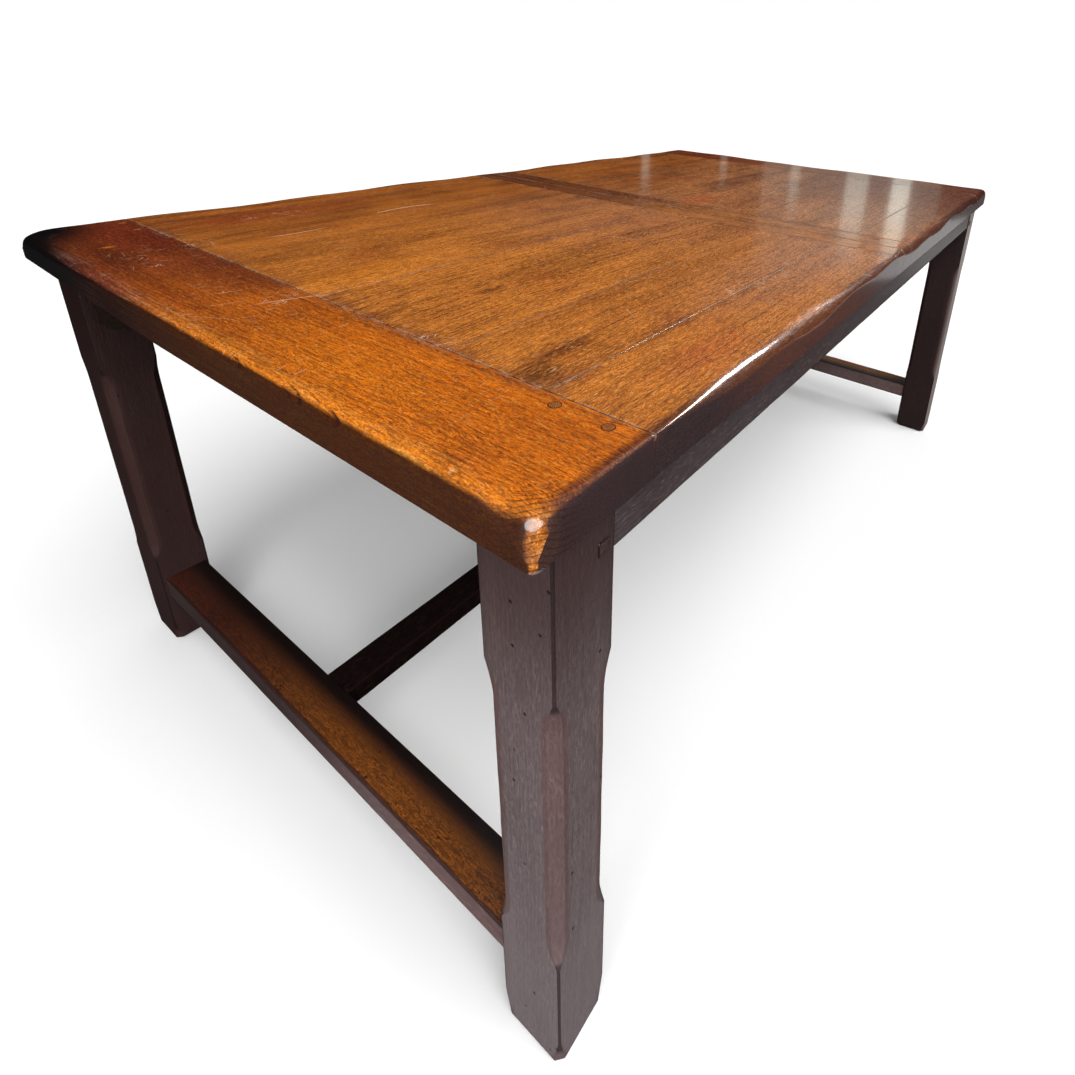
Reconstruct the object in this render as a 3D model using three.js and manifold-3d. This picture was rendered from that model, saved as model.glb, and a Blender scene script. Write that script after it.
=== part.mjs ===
// Extending oak dining table: a pegged leg-and-stretcher frame that stays put, and a top in two halves
// that slide apart along wooden guides so that a loose leaf can be laid between them.
// Millimetres. X runs along the table with the near end at -X, Y runs across it, Z points up,
// and the origin is on the floor under the middle of the closed table.

import * as THREE from 'three';
import Module from 'manifold-3d';
import { mergeVertices } from 'three/addons/utils/BufferGeometryUtils.js';

const wasm = await Module();
wasm.setup();

// Overall sizes
const TABLE_HEIGHT = 770;
const TOP_LENGTH = 1830;
const TOP_WIDTH = 1070;
const TOP_THICKNESS = 46;
const END_OVERHANG = 33;
const SIDE_OVERHANG = 15;
const HALF_TRAVEL = 240;

// Edge of the top: a hand-worked rounding whose size drifts along the edge
const CORNER_RADIUS = 20;
const WORN_CORNER_RADIUS = 46;
const ARRIS_RADIUS = 13;
const ARRIS_DRIFT_SHARE = 0.45;
const ARRIS_RIPPLE_SHARE = 0.32;
const DRIFT_LENGTH = 610;
const RIPPLE_LENGTH = 233;
const CORNER_CALM = 140;
const CORNER_ARRIS_SHARE = 0.8;
const LOWER_ARRIS = 4;
const EDGE_SPACING = 56;
const ARRIS_STEPS = 4;
const CORNER_STEPS = 4;

// Boards, breadboard ends and centre cleats
const BREADBOARD_WIDTH = 138;
const CLEAT_WIDTH = 57;
const CENTRE_GAP = 0.6;
const NEAR_RIGHT_BOARD = 118;
const FAR_RIGHT_BOARD = 107;
const LEFT_BOARD = 81;
const NEAR_MIDDLE_SHARES = [0.159, 0.4285, 0.713];
const FAR_MIDDLE_SHARES = [0.253, 0.5275, 0.7985];
const TONGUE_THICKNESS = 13;
const TONGUE_LENGTH = 26;
const CLEAT_TONGUE_SHARE = 0.42;
const GROOVE_STOP = 22;

// Pegs and dowels
const PEG_RADIUS = 6.5;
const PEG_FLOOR_WOOD = 10;
const PEG_FROM_JOINT = 15;
const PEG_FROM_EDGE = 37;
const PEG_PAIR_SPACING = 59;
const CLEAT_PEG_FROM_EDGE = 66;
const PEG_SIDES = 16;
const DOWEL_RADIUS = 7;
const DOWEL_SEAT_SHARE = 0.48;
const DOWEL_REACH_SHARE = 0.4;
const DOWEL_LEAD = 3;
const DOWEL_PITCH = 310;
const SQUARE_PEG = 14;
const SQUARE_PEG_LENGTH = 42;
const SQUARE_PEG_PROUD = 1.5;
const SQUARE_PEG_RISE_SHARE = 0.26;
const SQUARE_PEG_SET_BACK = 15;

// Legs
const LEG_DEPTH = 74;
const LEG_WIDTH = 84;
const LEG_CHAMFER = 10;
const CHAMFER_BELOW_RAIL = 107;
const CHAMFER_ABOVE_STRETCHER = 46;
const STOP_LENGTH = 40;
const STOP_STEPS = 5;
const ARRIS_EASE = 1.2;
const FOOT_BEVEL = 4;
const FOOT_WEAR_HEIGHT = 45;
const FOOT_WORN_ARRIS = 8;

// Side rails
const RAIL_HEIGHT = 56;
const RAIL_THICKNESS = 28;
const RAIL_SET_BACK = 2;
const RAIL_CHAMFER = 2.5;
const RAIL_TENON_LENGTH = 46;
const RAIL_TENON_THICKNESS = 13;
const RAIL_TENON_UPPER_SHARE = 0.2;
const RAIL_TENON_LOWER_SHARE = 0.06;

// Stretchers
const STRETCHER_TOP = 141;
const STRETCHER_HEIGHT = 41;
const STRETCHER_WIDTH = 62;
const STRETCHER_SET_BACK = 7;
const STRETCHER_WORN_EDGE = 7;
const STRETCHER_ARRIS = 2;
const STRETCHER_TENON_LENGTH = 50;
const STRETCHER_TENON_THICKNESS = 34;
const STRETCHER_TENON_SHOULDER = 8;
const CENTRE_STRETCHER_WIDTH = 54;
const CENTRE_STRETCHER_HEIGHT = 34;
const CENTRE_TENON_LENGTH = 36;
const CENTRE_TENON_WIDTH = 34;
const CENTRE_TENON_SHOULDER = 8;

// Slides: two runners under each half of the top, and fixed guides between them
const RUNNER_HEIGHT = 92;
const RUNNER_THICKNESS = 34;
const LEFT_RUNNER_SET_BACK = 14;
const RIGHT_RUNNER_SET_BACK = 30;
const RUNNER_SCARF = 30;
const RUNNER_END_CHAMFER = 6;
const RUNNER_RELIEF = 1;
const RUNNER_RELIEF_SET_BACK = 12;
const GUIDE_THICKNESS = 26;
const GUIDE_LENGTH = 660;
const GUIDE_HOUSING = 6;
const TONGUE_HEIGHT = 13;
const TONGUE_DEPTH = 9;
const GROOVE_END_WOOD = 30;
const RUNNING_GAP = 0.6;
const LEG_PASSING_GAP = 1;

// Cross bearers, notched from above for the slides and tapered up to the side rails
const BEARER_THICKNESS = 30;
const BEARER_WOOD_BELOW = 20;
const BEARER_FROM_GUIDE_END = 80;
const BEARER_FROM_LEG = 60;
const BEARER_TENON_LENGTH = 16;
const BEARER_TENON_THICKNESS = 14;
const BEARER_TENON_SHOULDER = 11;
const BEARER_TAPER = 44;

// Clearances
const SLIDE_GAP = 0.5;
const JOINT_CLEARANCE = 0.2;
const PEG_CLEARANCE = 0.1;
const CUT_OVERRUN = 5;

// Levels and faces worked out from the sizes above
const UNDERSIDE = TABLE_HEIGHT - TOP_THICKNESS;
const FRAME_TOP = UNDERSIDE - SLIDE_GAP;
const HALF_LENGTH = TOP_LENGTH / 2;
const HALF_WIDTH = TOP_WIDTH / 2;
const MID_THICKNESS = UNDERSIDE + TOP_THICKNESS / 2;
const PEG_BOTTOM = UNDERSIDE + PEG_FLOOR_WOOD;
const BREADBOARD_JOINT = HALF_LENGTH - BREADBOARD_WIDTH;
const CLEAT_FACE = CENTRE_GAP / 2;
const CLEAT_JOINT = CLEAT_FACE + CLEAT_WIDTH;
const CLEAT_TONGUE_LENGTH = CLEAT_WIDTH * CLEAT_TONGUE_SHARE;
const DOWEL_SEAT = CLEAT_WIDTH * DOWEL_SEAT_SHARE;
const DOWEL_REACH = CLEAT_WIDTH * DOWEL_REACH_SHARE;
const LEG_OUTER_X = HALF_LENGTH - END_OVERHANG;
const LEG_INNER_X = LEG_OUTER_X - LEG_DEPTH;
const LEG_OUTER_Y = HALF_WIDTH - SIDE_OVERHANG;
const LEG_INNER_Y = LEG_OUTER_Y - LEG_WIDTH;
const RAIL_OUTER_Y = LEG_OUTER_Y - RAIL_SET_BACK;
const RAIL_INNER_Y = RAIL_OUTER_Y - RAIL_THICKNESS;
const RAIL_MID_Y = (RAIL_OUTER_Y + RAIL_INNER_Y) / 2;
const RAIL_BOTTOM = FRAME_TOP - RAIL_HEIGHT;
const SQUARE_PEG_Z = RAIL_BOTTOM + RAIL_HEIGHT * SQUARE_PEG_RISE_SHARE;
const CHAMFER_TOP = RAIL_BOTTOM - CHAMFER_BELOW_RAIL;
const CHAMFER_BOTTOM = STRETCHER_TOP + CHAMFER_ABOVE_STRETCHER;
const OUTER_RUNNER_Y = LEG_INNER_Y - LEG_PASSING_GAP;
const GUIDE_OUTER_Y = OUTER_RUNNER_Y - RUNNER_THICKNESS - RUNNING_GAP;
const GUIDE_INNER_Y = GUIDE_OUTER_Y - GUIDE_THICKNESS;
const INNER_RUNNER_Y = GUIDE_INNER_Y - RUNNING_GAP;
const SLIDES_INNER_Y = INNER_RUNNER_Y - RUNNER_THICKNESS;
const RUNNER_BOTTOM = UNDERSIDE - RUNNER_HEIGHT;
const RUNNER_MID = (UNDERSIDE + RUNNER_BOTTOM) / 2;
const NOTCH_FLOOR = RUNNER_BOTTOM - RUNNING_GAP;
const HALF_GUIDE = GUIDE_LENGTH / 2;
const GROOVE_END = HALF_GUIDE + HALF_TRAVEL + RUNNING_GAP;
const RUNNER_INNER_END = GROOVE_END + GROOVE_END_WOOD;
const HOUSING_FLOOR = NOTCH_FLOOR - GUIDE_HOUSING;
const BEARER_BOTTOM = HOUSING_FLOOR - BEARER_WOOD_BELOW;
const INNER_BEARER_X = HALF_GUIDE - BEARER_FROM_GUIDE_END;
const OUTER_BEARER_X = LEG_INNER_X - BEARER_FROM_LEG;
const STRETCHER_OUTER_X = LEG_OUTER_X - STRETCHER_SET_BACK;
const STRETCHER_INNER_X = STRETCHER_OUTER_X - STRETCHER_WIDTH;

// Colours of the oak
const WARM_OAK = { color: 0x9a5522, roughness: 0.35, metalness: 0 };
const RED_OAK = { color: 0x854625, roughness: 0.35, metalness: 0 };
const CLEAT_OAK = { color: 0x5b3026, roughness: 0.4, metalness: 0 };
const PEG_OAK = { color: 0x4a2c1c, roughness: 0.5, metalness: 0 };
const FRAME_OAK = { color: 0x4f3d3a, roughness: 0.5, metalness: 0 };
const STRETCHER_OAK = { color: 0x6b3d22, roughness: 0.5, metalness: 0 };
const SLIDE_OAK = { color: 0x3c2a22, roughness: 0.6, metalness: 0 };

const table = new THREE.Group();

// A closed geometry becomes a solid once its vertices are shared
function solidOf(geometry) {
  geometry.deleteAttribute('normal');
  geometry.deleteAttribute('uv');
  const merged = mergeVertices(geometry);
  return new wasm.Manifold(new wasm.Mesh({
    numProp: 3,
    vertProperties: merged.attributes.position.array,
    triVerts: new Uint32Array(merged.index.array),
  }));
}

function addPiece(name, solid, finish) {
  const cut = solid.getMesh();
  const geometry = new THREE.BufferGeometry();
  geometry.setAttribute('position', new THREE.BufferAttribute(new Float32Array(cut.vertProperties), 3));
  geometry.setIndex(new THREE.BufferAttribute(new Uint32Array(cut.triVerts), 1));
  const faceted = geometry.toNonIndexed();
  faceted.computeVertexNormals();
  const mesh = new THREE.Mesh(faceted, new THREE.MeshStandardMaterial(finish));
  mesh.name = name;
  table.add(mesh);
}

// Boxes are given by their faces, so two boards that share a face share its exact place
function block([x0, x1], [y0, y1], [z0, z1]) {
  const geometry = new THREE.BoxGeometry(1, 1, 1);
  const place = geometry.attributes.position;
  for (let i = 0; i < place.count; i += 1) {
    const x = place.getX(i) < 0 ? x0 : x1;
    const y = place.getY(i) < 0 ? y0 : y1;
    const z = place.getZ(i) < 0 ? z0 : z1;
    place.setXYZ(i, x, y, z);
  }
  return solidOf(geometry);
}

// The span from a to b, mirrored to the side that sign names, lowest first
function span(sign, a, b) {
  return [Math.min(sign * a, sign * b), Math.max(sign * a, sign * b)];
}

// An outline in the plane across an axis, carried along the axis from one place to another
function extruded(axis, outline, from, to) {
  const shape = new THREE.Shape(outline.map(([u, v]) => new THREE.Vector2(u, v)));
  const geometry = new THREE.ExtrudeGeometry(shape, { depth: 1, bevelEnabled: false });
  const place = geometry.attributes.position;
  for (let i = 0; i < place.count; i += 1) {
    const u = place.getX(i);
    const v = place.getY(i);
    const far = place.getZ(i) > 0;
    if (axis === 'x') place.setXYZ(i, far ? to : from, u, v);
    if (axis === 'y') place.setXYZ(i, u, far ? from : to, v);
    if (axis === 'z') place.setXYZ(i, u, v, far ? to : from);
  }
  return solidOf(geometry);
}

function uprightRod(x, y, z0, z1, radius) {
  const geometry = new THREE.CylinderGeometry(radius, radius, z1 - z0, PEG_SIDES);
  geometry.rotateX(Math.PI / 2);
  geometry.translate(x, y, (z0 + z1) / 2);
  return solidOf(geometry);
}

// Rings of equally many points, each ring a list of [x, y, z], skinned into a closed body.
// The rings run counter-clockwise seen from above, the highest first, and the end rings are flat.
function ringBody(rings) {
  const count = rings[0].length;
  const positions = rings.flat(2);
  const index = [];
  for (let r = 0; r + 1 < rings.length; r += 1) {
    for (let i = 0; i < count; i += 1) {
      const next = (i + 1) % count;
      const a = r * count + i;
      const b = r * count + next;
      const c = a + count;
      const d = b + count;
      index.push(a, c, b, b, c, d);
    }
  }
  const contour = rings[0].map(([x, y]) => new THREE.Vector2(x, y));
  const last = (rings.length - 1) * count;
  for (const [a, b, c] of THREE.ShapeUtils.triangulateShape(contour, [])) {
    index.push(a, b, c, last + a, last + c, last + b);
  }
  const geometry = new THREE.BufferGeometry();
  geometry.setAttribute('position', new THREE.BufferAttribute(new Float32Array(positions), 3));
  geometry.setIndex(index);
  return solidOf(geometry);
}

// Outline of the whole top, side by side from the near right corner: straight edges and round corners,
// the near left one worn to a larger curve. Each point has its outward normal and its place on its side.
function topOutline() {
  const sides = [
    { length: TOP_LENGTH, across: TOP_WIDTH, first: CORNER_RADIUS, last: CORNER_RADIUS },
    { length: TOP_WIDTH, across: TOP_LENGTH, first: CORNER_RADIUS, last: CORNER_RADIUS },
    { length: TOP_LENGTH, across: TOP_WIDTH, first: CORNER_RADIUS, last: WORN_CORNER_RADIUS },
    { length: TOP_WIDTH, across: TOP_LENGTH, first: WORN_CORNER_RADIUS, last: CORNER_RADIUS },
  ];
  return sides.flatMap(({ length, across, first, last }, turn) => {
    const angle = (turn * Math.PI) / 2;
    const start = first - length / 2;
    const end = length / 2 - last;
    const steps = Math.ceil((end - start) / EDGE_SPACING);
    const local = [];
    for (let i = 0; i <= steps; i += 1) {
      const along = start + ((end - start) * i) / steps;
      local.push({ u: along, v: -across / 2, swing: 0, along });
    }
    for (let k = 1; k < CORNER_STEPS; k += 1) {
      const swing = (k / CORNER_STEPS) * (Math.PI / 2);
      const u = end + last * Math.sin(swing);
      local.push({ u, v: last * (1 - Math.cos(swing)) - across / 2, swing, along: length / 2 });
    }
    return local.map(({ u, v, swing, along }) => ({
      x: u * Math.cos(angle) - v * Math.sin(angle),
      y: u * Math.sin(angle) + v * Math.cos(angle),
      nx: Math.sin(swing + angle),
      ny: -Math.cos(swing + angle),
      along,
      length,
      turn,
    }));
  });
}

// Size of the rounding at a point: two sine waves along the edge, fading out towards the corners
function arrisRadius({ along, length, turn }) {
  const calm = Math.min(1, (length / 2 - Math.abs(along)) / CORNER_CALM);
  const drift = ARRIS_DRIFT_SHARE * Math.sin((2 * Math.PI * along) / DRIFT_LENGTH + turn);
  const ripple = ARRIS_RIPPLE_SHARE * Math.sin((2 * Math.PI * along) / RIPPLE_LENGTH + 2 * turn);
  const plain = Math.min(ARRIS_RADIUS, CORNER_RADIUS * CORNER_ARRIS_SHARE);
  return plain * (1 + Math.max(0, calm) * (drift + ripple));
}

// The whole top as one body. Every piece that reaches an edge is cut out of it.
function wholeTop() {
  const outline = topOutline();
  const ring = (insetOf, levelOf) => outline.map((point) => {
    const inset = insetOf(point);
    return [point.x - point.nx * inset, point.y - point.ny * inset, levelOf(point)];
  });
  const rings = [];
  for (let k = 0; k <= ARRIS_STEPS; k += 1) {
    const bend = (k / ARRIS_STEPS) * (Math.PI / 2);
    rings.push(ring(
      (point) => arrisRadius(point) * (1 - Math.sin(bend)),
      (point) => TABLE_HEIGHT - arrisRadius(point) * (1 - Math.cos(bend)),
    ));
  }
  rings.push(ring(() => 0, () => UNDERSIDE + LOWER_ARRIS));
  rings.push(ring(() => LOWER_ARRIS, () => UNDERSIDE));
  return ringBody(rings);
}

// One half of the top. side is -1 for the near half and 1 for the far half.
function breadboardPegPlaces() {
  const inner = PEG_FROM_EDGE + PEG_PAIR_SPACING;
  return [-HALF_WIDTH + PEG_FROM_EDGE, -HALF_WIDTH + inner, HALF_WIDTH - inner, HALF_WIDTH - PEG_FROM_EDGE];
}

function cleatPegPlaces() {
  return [-HALF_WIDTH + CLEAT_PEG_FROM_EDGE, HALF_WIDTH - CLEAT_PEG_FROM_EDGE];
}

function pegHoles(side) {
  const floor = PEG_BOTTOM - JOINT_CLEARANCE;
  const radius = PEG_RADIUS + PEG_CLEARANCE;
  const hole = (x, y) => uprightRod(side * x, y, floor, TABLE_HEIGHT + CUT_OVERRUN, radius);
  return [
    ...breadboardPegPlaces().map((y) => hole(BREADBOARD_JOINT + PEG_FROM_JOINT, y)),
    ...cleatPegPlaces().map((y) => hole(CLEAT_JOINT - PEG_FROM_JOINT, y)),
  ];
}

function addPegs(end, side) {
  const peg = (x, y) => uprightRod(side * x, y, PEG_BOTTOM, TABLE_HEIGHT, PEG_RADIUS);
  breadboardPegPlaces().forEach((y, i) => {
    addPiece(`${end}_breadboard_peg_${i + 1}`, peg(BREADBOARD_JOINT + PEG_FROM_JOINT, y), PEG_OAK);
  });
  cleatPegPlaces().forEach((y, i) => {
    addPiece(`${end}_cleat_peg_${i + 1}`, peg(CLEAT_JOINT - PEG_FROM_JOINT, y), PEG_OAK);
  });
}

// The groove that takes the boards' tongues, stopped short of both sides of the table
function tongueGroove(side, mouth, depth) {
  const half = TONGUE_THICKNESS / 2 + JOINT_CLEARANCE;
  const reach = HALF_WIDTH - GROOVE_STOP;
  return block(
    span(side, mouth, mouth + depth),
    [-reach, reach],
    [MID_THICKNESS - half, MID_THICKNESS + half],
  );
}

function addBreadboard(end, side, top, holes) {
  let board = top.intersect(block(
    span(side, BREADBOARD_JOINT, HALF_LENGTH + CUT_OVERRUN),
    [-HALF_WIDTH - CUT_OVERRUN, HALF_WIDTH + CUT_OVERRUN],
    [UNDERSIDE - CUT_OVERRUN, TABLE_HEIGHT + CUT_OVERRUN],
  ));
  board = board.subtract(tongueGroove(side, BREADBOARD_JOINT, TONGUE_LENGTH + JOINT_CLEARANCE));
  for (const hole of holes) board = board.subtract(hole);
  addPiece(`${end}_breadboard_end`, board, WARM_OAK);
}

function dowelPlaces() {
  return [-DOWEL_PITCH, 0, DOWEL_PITCH];
}

function dowelRod(y, x0, x1, radius) {
  const geometry = new THREE.CylinderGeometry(radius, radius, x1 - x0, PEG_SIDES);
  geometry.rotateZ(Math.PI / 2);
  geometry.translate((x0 + x1) / 2, y, MID_THICKNESS);
  return solidOf(geometry);
}

function addCleat(end, side, top, holes) {
  let cleat = top.intersect(block(
    span(side, CLEAT_FACE, CLEAT_JOINT),
    [-HALF_WIDTH - CUT_OVERRUN, HALF_WIDTH + CUT_OVERRUN],
    [UNDERSIDE - CUT_OVERRUN, TABLE_HEIGHT + CUT_OVERRUN],
  ));
  cleat = cleat.subtract(tongueGroove(side, CLEAT_JOINT, -CLEAT_TONGUE_LENGTH - JOINT_CLEARANCE));
  for (const hole of holes) cleat = cleat.subtract(hole);
  const fit = side > 0 ? JOINT_CLEARANCE / 2 : RUNNING_GAP;
  const depth = side > 0 ? DOWEL_SEAT : DOWEL_REACH + RUNNING_GAP;
  for (const y of dowelPlaces()) {
    const [x0, x1] = span(side, CLEAT_FACE - CUT_OVERRUN, CLEAT_FACE + depth);
    cleat = cleat.subtract(dowelRod(y, x0, x1, DOWEL_RADIUS + fit));
  }
  addPiece(`${end}_centre_cleat`, cleat, CLEAT_OAK);
}

function addDowels() {
  const tipEnd = -CLEAT_FACE - DOWEL_REACH;
  dowelPlaces().forEach((y, i) => {
    const rod = dowelRod(y, tipEnd + DOWEL_LEAD, CLEAT_FACE + DOWEL_SEAT, DOWEL_RADIUS);
    const tip = dowelRod(y, tipEnd, 0, DOWEL_RADIUS - DOWEL_LEAD / 2);
    addPiece(`alignment_dowel_${i + 1}`, rod.add(tip), PEG_OAK);
  });
}

function boardJoints(rightBoard, middleShares) {
  const first = -HALF_WIDTH + rightBoard;
  const middle = HALF_WIDTH - LEFT_BOARD - first;
  return [-HALF_WIDTH, first, ...middleShares.map((share) => first + share * middle),
    HALF_WIDTH - LEFT_BOARD, HALF_WIDTH];
}

function addBoards(end, side, joints, top, holes, finish) {
  const last = joints.length - 2;
  const half = TONGUE_THICKNESS / 2;
  const reach = HALF_WIDTH - GROOVE_STOP - JOINT_CLEARANCE;
  for (let i = 0; i <= last; i += 1) {
    const atEdge = i === 0 || i === last;
    const right = i === 0 ? joints[i] - CUT_OVERRUN : joints[i];
    const left = i === last ? joints[i + 1] + CUT_OVERRUN : joints[i + 1];
    const past = atEdge ? CUT_OVERRUN : 0;
    let board = block(
      span(side, CLEAT_JOINT, BREADBOARD_JOINT),
      [right, left],
      [UNDERSIDE - past, TABLE_HEIGHT + past],
    );
    if (atEdge) board = board.intersect(top);
    board = board.add(block(
      span(side, CLEAT_JOINT - CLEAT_TONGUE_LENGTH, BREADBOARD_JOINT + TONGUE_LENGTH),
      [Math.max(right, -reach), Math.min(left, reach)],
      [MID_THICKNESS - half, MID_THICKNESS + half],
    ));
    for (const hole of holes) board = board.subtract(hole);
    addPiece(`${end}_top_board_${i + 1}`, board, finish);
  }
}

// Runner of one half: glued under its own boards, relieved where it passes under the other half,
// grooved on the face towards the guide. The groove's closed end is the stop.
function addRunner(end, side, hand, outerFace, grooveAtInner) {
  const top = UNDERSIDE - RUNNER_RELIEF;
  const outerEnd = LEG_OUTER_X - (hand < 0 ? RIGHT_RUNNER_SET_BACK : LEFT_RUNNER_SET_BACK);
  const outline = [
    [outerEnd, UNDERSIDE],
    [RUNNER_RELIEF_SET_BACK, UNDERSIDE],
    [RUNNER_RELIEF_SET_BACK, top],
    [-RUNNER_INNER_END, top],
    [-RUNNER_INNER_END, RUNNER_BOTTOM + RUNNER_SCARF],
    [RUNNER_SCARF - RUNNER_INNER_END, RUNNER_BOTTOM],
    [outerEnd - RUNNER_END_CHAMFER, RUNNER_BOTTOM],
    [outerEnd, RUNNER_BOTTOM + RUNNER_END_CHAMFER],
  ].map(([x, z]) => [side * x, z]);
  const innerFace = outerFace - RUNNER_THICKNESS;
  const [y0, y1] = span(hand, innerFace, outerFace);
  const runner = extruded('y', outline, y0, y1);
  const depth = TONGUE_DEPTH + RUNNING_GAP;
  const grooveFace = grooveAtInner ? innerFace : outerFace;
  const grooveDepth = grooveAtInner ? depth : -depth;
  const half = TONGUE_HEIGHT / 2 + RUNNING_GAP;
  const groove = block(
    span(side, -GROOVE_END, outerEnd + CUT_OVERRUN),
    span(hand, grooveFace - Math.sign(grooveDepth) * CUT_OVERRUN, grooveFace + grooveDepth),
    [RUNNER_MID - half, RUNNER_MID + half],
  );
  const handName = hand < 0 ? 'right' : 'left';
  addPiece(`${end}_runner_${handName}`, runner.subtract(groove), SLIDE_OAK);
}

function addHalf(end, side, joints, finish) {
  const top = wholeTop();
  const holes = pegHoles(side);
  addBreadboard(end, side, top, holes);
  addCleat(end, side, top, holes);
  addBoards(end, side, joints, top, holes, finish);
  addPegs(end, side);
  const outerFace = side < 0 ? OUTER_RUNNER_Y : INNER_RUNNER_Y;
  for (const hand of [-1, 1]) addRunner(end, side, hand, outerFace, side < 0);
}

// Fixed guide: a rail with a tongue along each face, let into the inner bearers
function addGuide(hand) {
  const body = block(
    [-HALF_GUIDE, HALF_GUIDE],
    span(hand, GUIDE_INNER_Y, GUIDE_OUTER_Y),
    [HOUSING_FLOOR, UNDERSIDE - RUNNER_RELIEF],
  );
  const tongues = block(
    [-HALF_GUIDE, HALF_GUIDE],
    span(hand, GUIDE_INNER_Y - TONGUE_DEPTH, GUIDE_OUTER_Y + TONGUE_DEPTH),
    [RUNNER_MID - TONGUE_HEIGHT / 2, RUNNER_MID + TONGUE_HEIGHT / 2],
  );
  addPiece(`slide_guide_${hand < 0 ? 'right' : 'left'}`, body.add(tongues), SLIDE_OAK);
}

// Cross bearer between the side rails, notched from above wherever the slides pass
function bearerTenon(hand, fit) {
  const half = BEARER_TENON_THICKNESS / 2 + fit;
  return {
    x: [-half, half],
    y: span(hand, RAIL_INNER_Y - CUT_OVERRUN, RAIL_INNER_Y + BEARER_TENON_LENGTH + fit),
    z: [RAIL_BOTTOM + BEARER_TENON_SHOULDER - fit, FRAME_TOP - BEARER_TENON_SHOULDER + fit],
  };
}

function shifted([a, b], by) {
  return [a + by, b + by];
}

function addBearer(name, x, housesGuide) {
  const outline = [
    [-RAIL_INNER_Y, RAIL_BOTTOM],
    [BEARER_TAPER - RAIL_INNER_Y, BEARER_BOTTOM],
    [RAIL_INNER_Y - BEARER_TAPER, BEARER_BOTTOM],
    [RAIL_INNER_Y, RAIL_BOTTOM],
    [RAIL_INNER_Y, FRAME_TOP],
    [-RAIL_INNER_Y, FRAME_TOP],
  ];
  const near = x - BEARER_THICKNESS / 2;
  const far = x + BEARER_THICKNESS / 2;
  const cut = [near - CUT_OVERRUN, far + CUT_OVERRUN];
  let bearer = extruded('x', outline, near, far);
  for (const hand of [-1, 1]) {
    const slides = span(hand, SLIDES_INNER_Y - RUNNING_GAP, LEG_INNER_Y);
    bearer = bearer.subtract(block(cut, slides, [NOTCH_FLOOR, UNDERSIDE]));
    if (housesGuide) {
      const guide = span(hand, GUIDE_INNER_Y - JOINT_CLEARANCE, GUIDE_OUTER_Y + JOINT_CLEARANCE);
      const floor = HOUSING_FLOOR - JOINT_CLEARANCE;
      bearer = bearer.subtract(block(cut, guide, [floor, NOTCH_FLOOR + CUT_OVERRUN]));
    }
    const tenon = bearerTenon(hand, 0);
    bearer = bearer.add(block(shifted(tenon.x, x), tenon.y, tenon.z));
  }
  addPiece(name, bearer, SLIDE_OAK);
}

// Side rail with a tenon at each end and a mortise for each cross bearer
function railTenon(end, fit) {
  const half = RAIL_TENON_THICKNESS / 2 + fit;
  return {
    x: span(end, LEG_INNER_X - CUT_OVERRUN, LEG_INNER_X + RAIL_TENON_LENGTH + fit),
    y: [RAIL_MID_Y - half, RAIL_MID_Y + half],
    z: [RAIL_BOTTOM + RAIL_HEIGHT * RAIL_TENON_LOWER_SHARE - fit,
      FRAME_TOP - RAIL_HEIGHT * RAIL_TENON_UPPER_SHARE + fit],
  };
}

function squarePeg(end, hand, fit, proud) {
  const half = SQUARE_PEG / 2 + fit;
  const x = LEG_INNER_X + SQUARE_PEG_SET_BACK;
  return block(
    span(end, x - half, x + half),
    span(hand, LEG_OUTER_Y + proud, LEG_OUTER_Y - SQUARE_PEG_LENGTH - fit),
    [SQUARE_PEG_Z - half, SQUARE_PEG_Z + half],
  );
}

function addSideRail(hand) {
  const outline = [
    [RAIL_OUTER_Y - RAIL_CHAMFER, RAIL_BOTTOM],
    [RAIL_OUTER_Y, RAIL_BOTTOM + RAIL_CHAMFER],
    [RAIL_OUTER_Y, FRAME_TOP],
    [RAIL_INNER_Y, FRAME_TOP],
    [RAIL_INNER_Y, RAIL_BOTTOM],
  ].map(([y, z]) => [hand * y, z]);
  let rail = extruded('x', outline, -LEG_INNER_X, LEG_INNER_X);
  for (const end of [-1, 1]) {
    const tenon = railTenon(end, 0);
    rail = rail.add(block(tenon.x, span(hand, ...tenon.y), tenon.z));
    rail = rail.subtract(squarePeg(end, hand, PEG_CLEARANCE, CUT_OVERRUN));
  }
  const mortise = bearerTenon(hand, JOINT_CLEARANCE);
  for (const x of [-OUTER_BEARER_X, -INNER_BEARER_X, INNER_BEARER_X, OUTER_BEARER_X]) {
    rail = rail.subtract(block(shifted(mortise.x, x), mortise.y, mortise.z));
  }
  addPiece(`side_rail_${hand < 0 ? 'right' : 'left'}`, rail, FRAME_OAK);
}

// End stretcher and its tenons
function stretcherTenon(end, hand, fit) {
  const middle = (STRETCHER_OUTER_X + STRETCHER_INNER_X) / 2;
  const half = STRETCHER_TENON_THICKNESS / 2 + fit;
  const bottom = STRETCHER_TOP - STRETCHER_HEIGHT;
  return block(
    span(end, middle - half, middle + half),
    span(hand, LEG_INNER_Y - CUT_OVERRUN, LEG_INNER_Y + STRETCHER_TENON_LENGTH + fit),
    [bottom + STRETCHER_TENON_SHOULDER - fit, STRETCHER_TOP - STRETCHER_TENON_SHOULDER + fit],
  );
}

function centreTenon(end, fit) {
  const half = CENTRE_TENON_WIDTH / 2 + fit;
  const bottom = STRETCHER_TOP - CENTRE_STRETCHER_HEIGHT;
  return block(
    span(end, STRETCHER_INNER_X - CUT_OVERRUN, STRETCHER_INNER_X + CENTRE_TENON_LENGTH + fit),
    [-half, half],
    [bottom + CENTRE_TENON_SHOULDER - fit, STRETCHER_TOP - CENTRE_TENON_SHOULDER + fit],
  );
}

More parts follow.
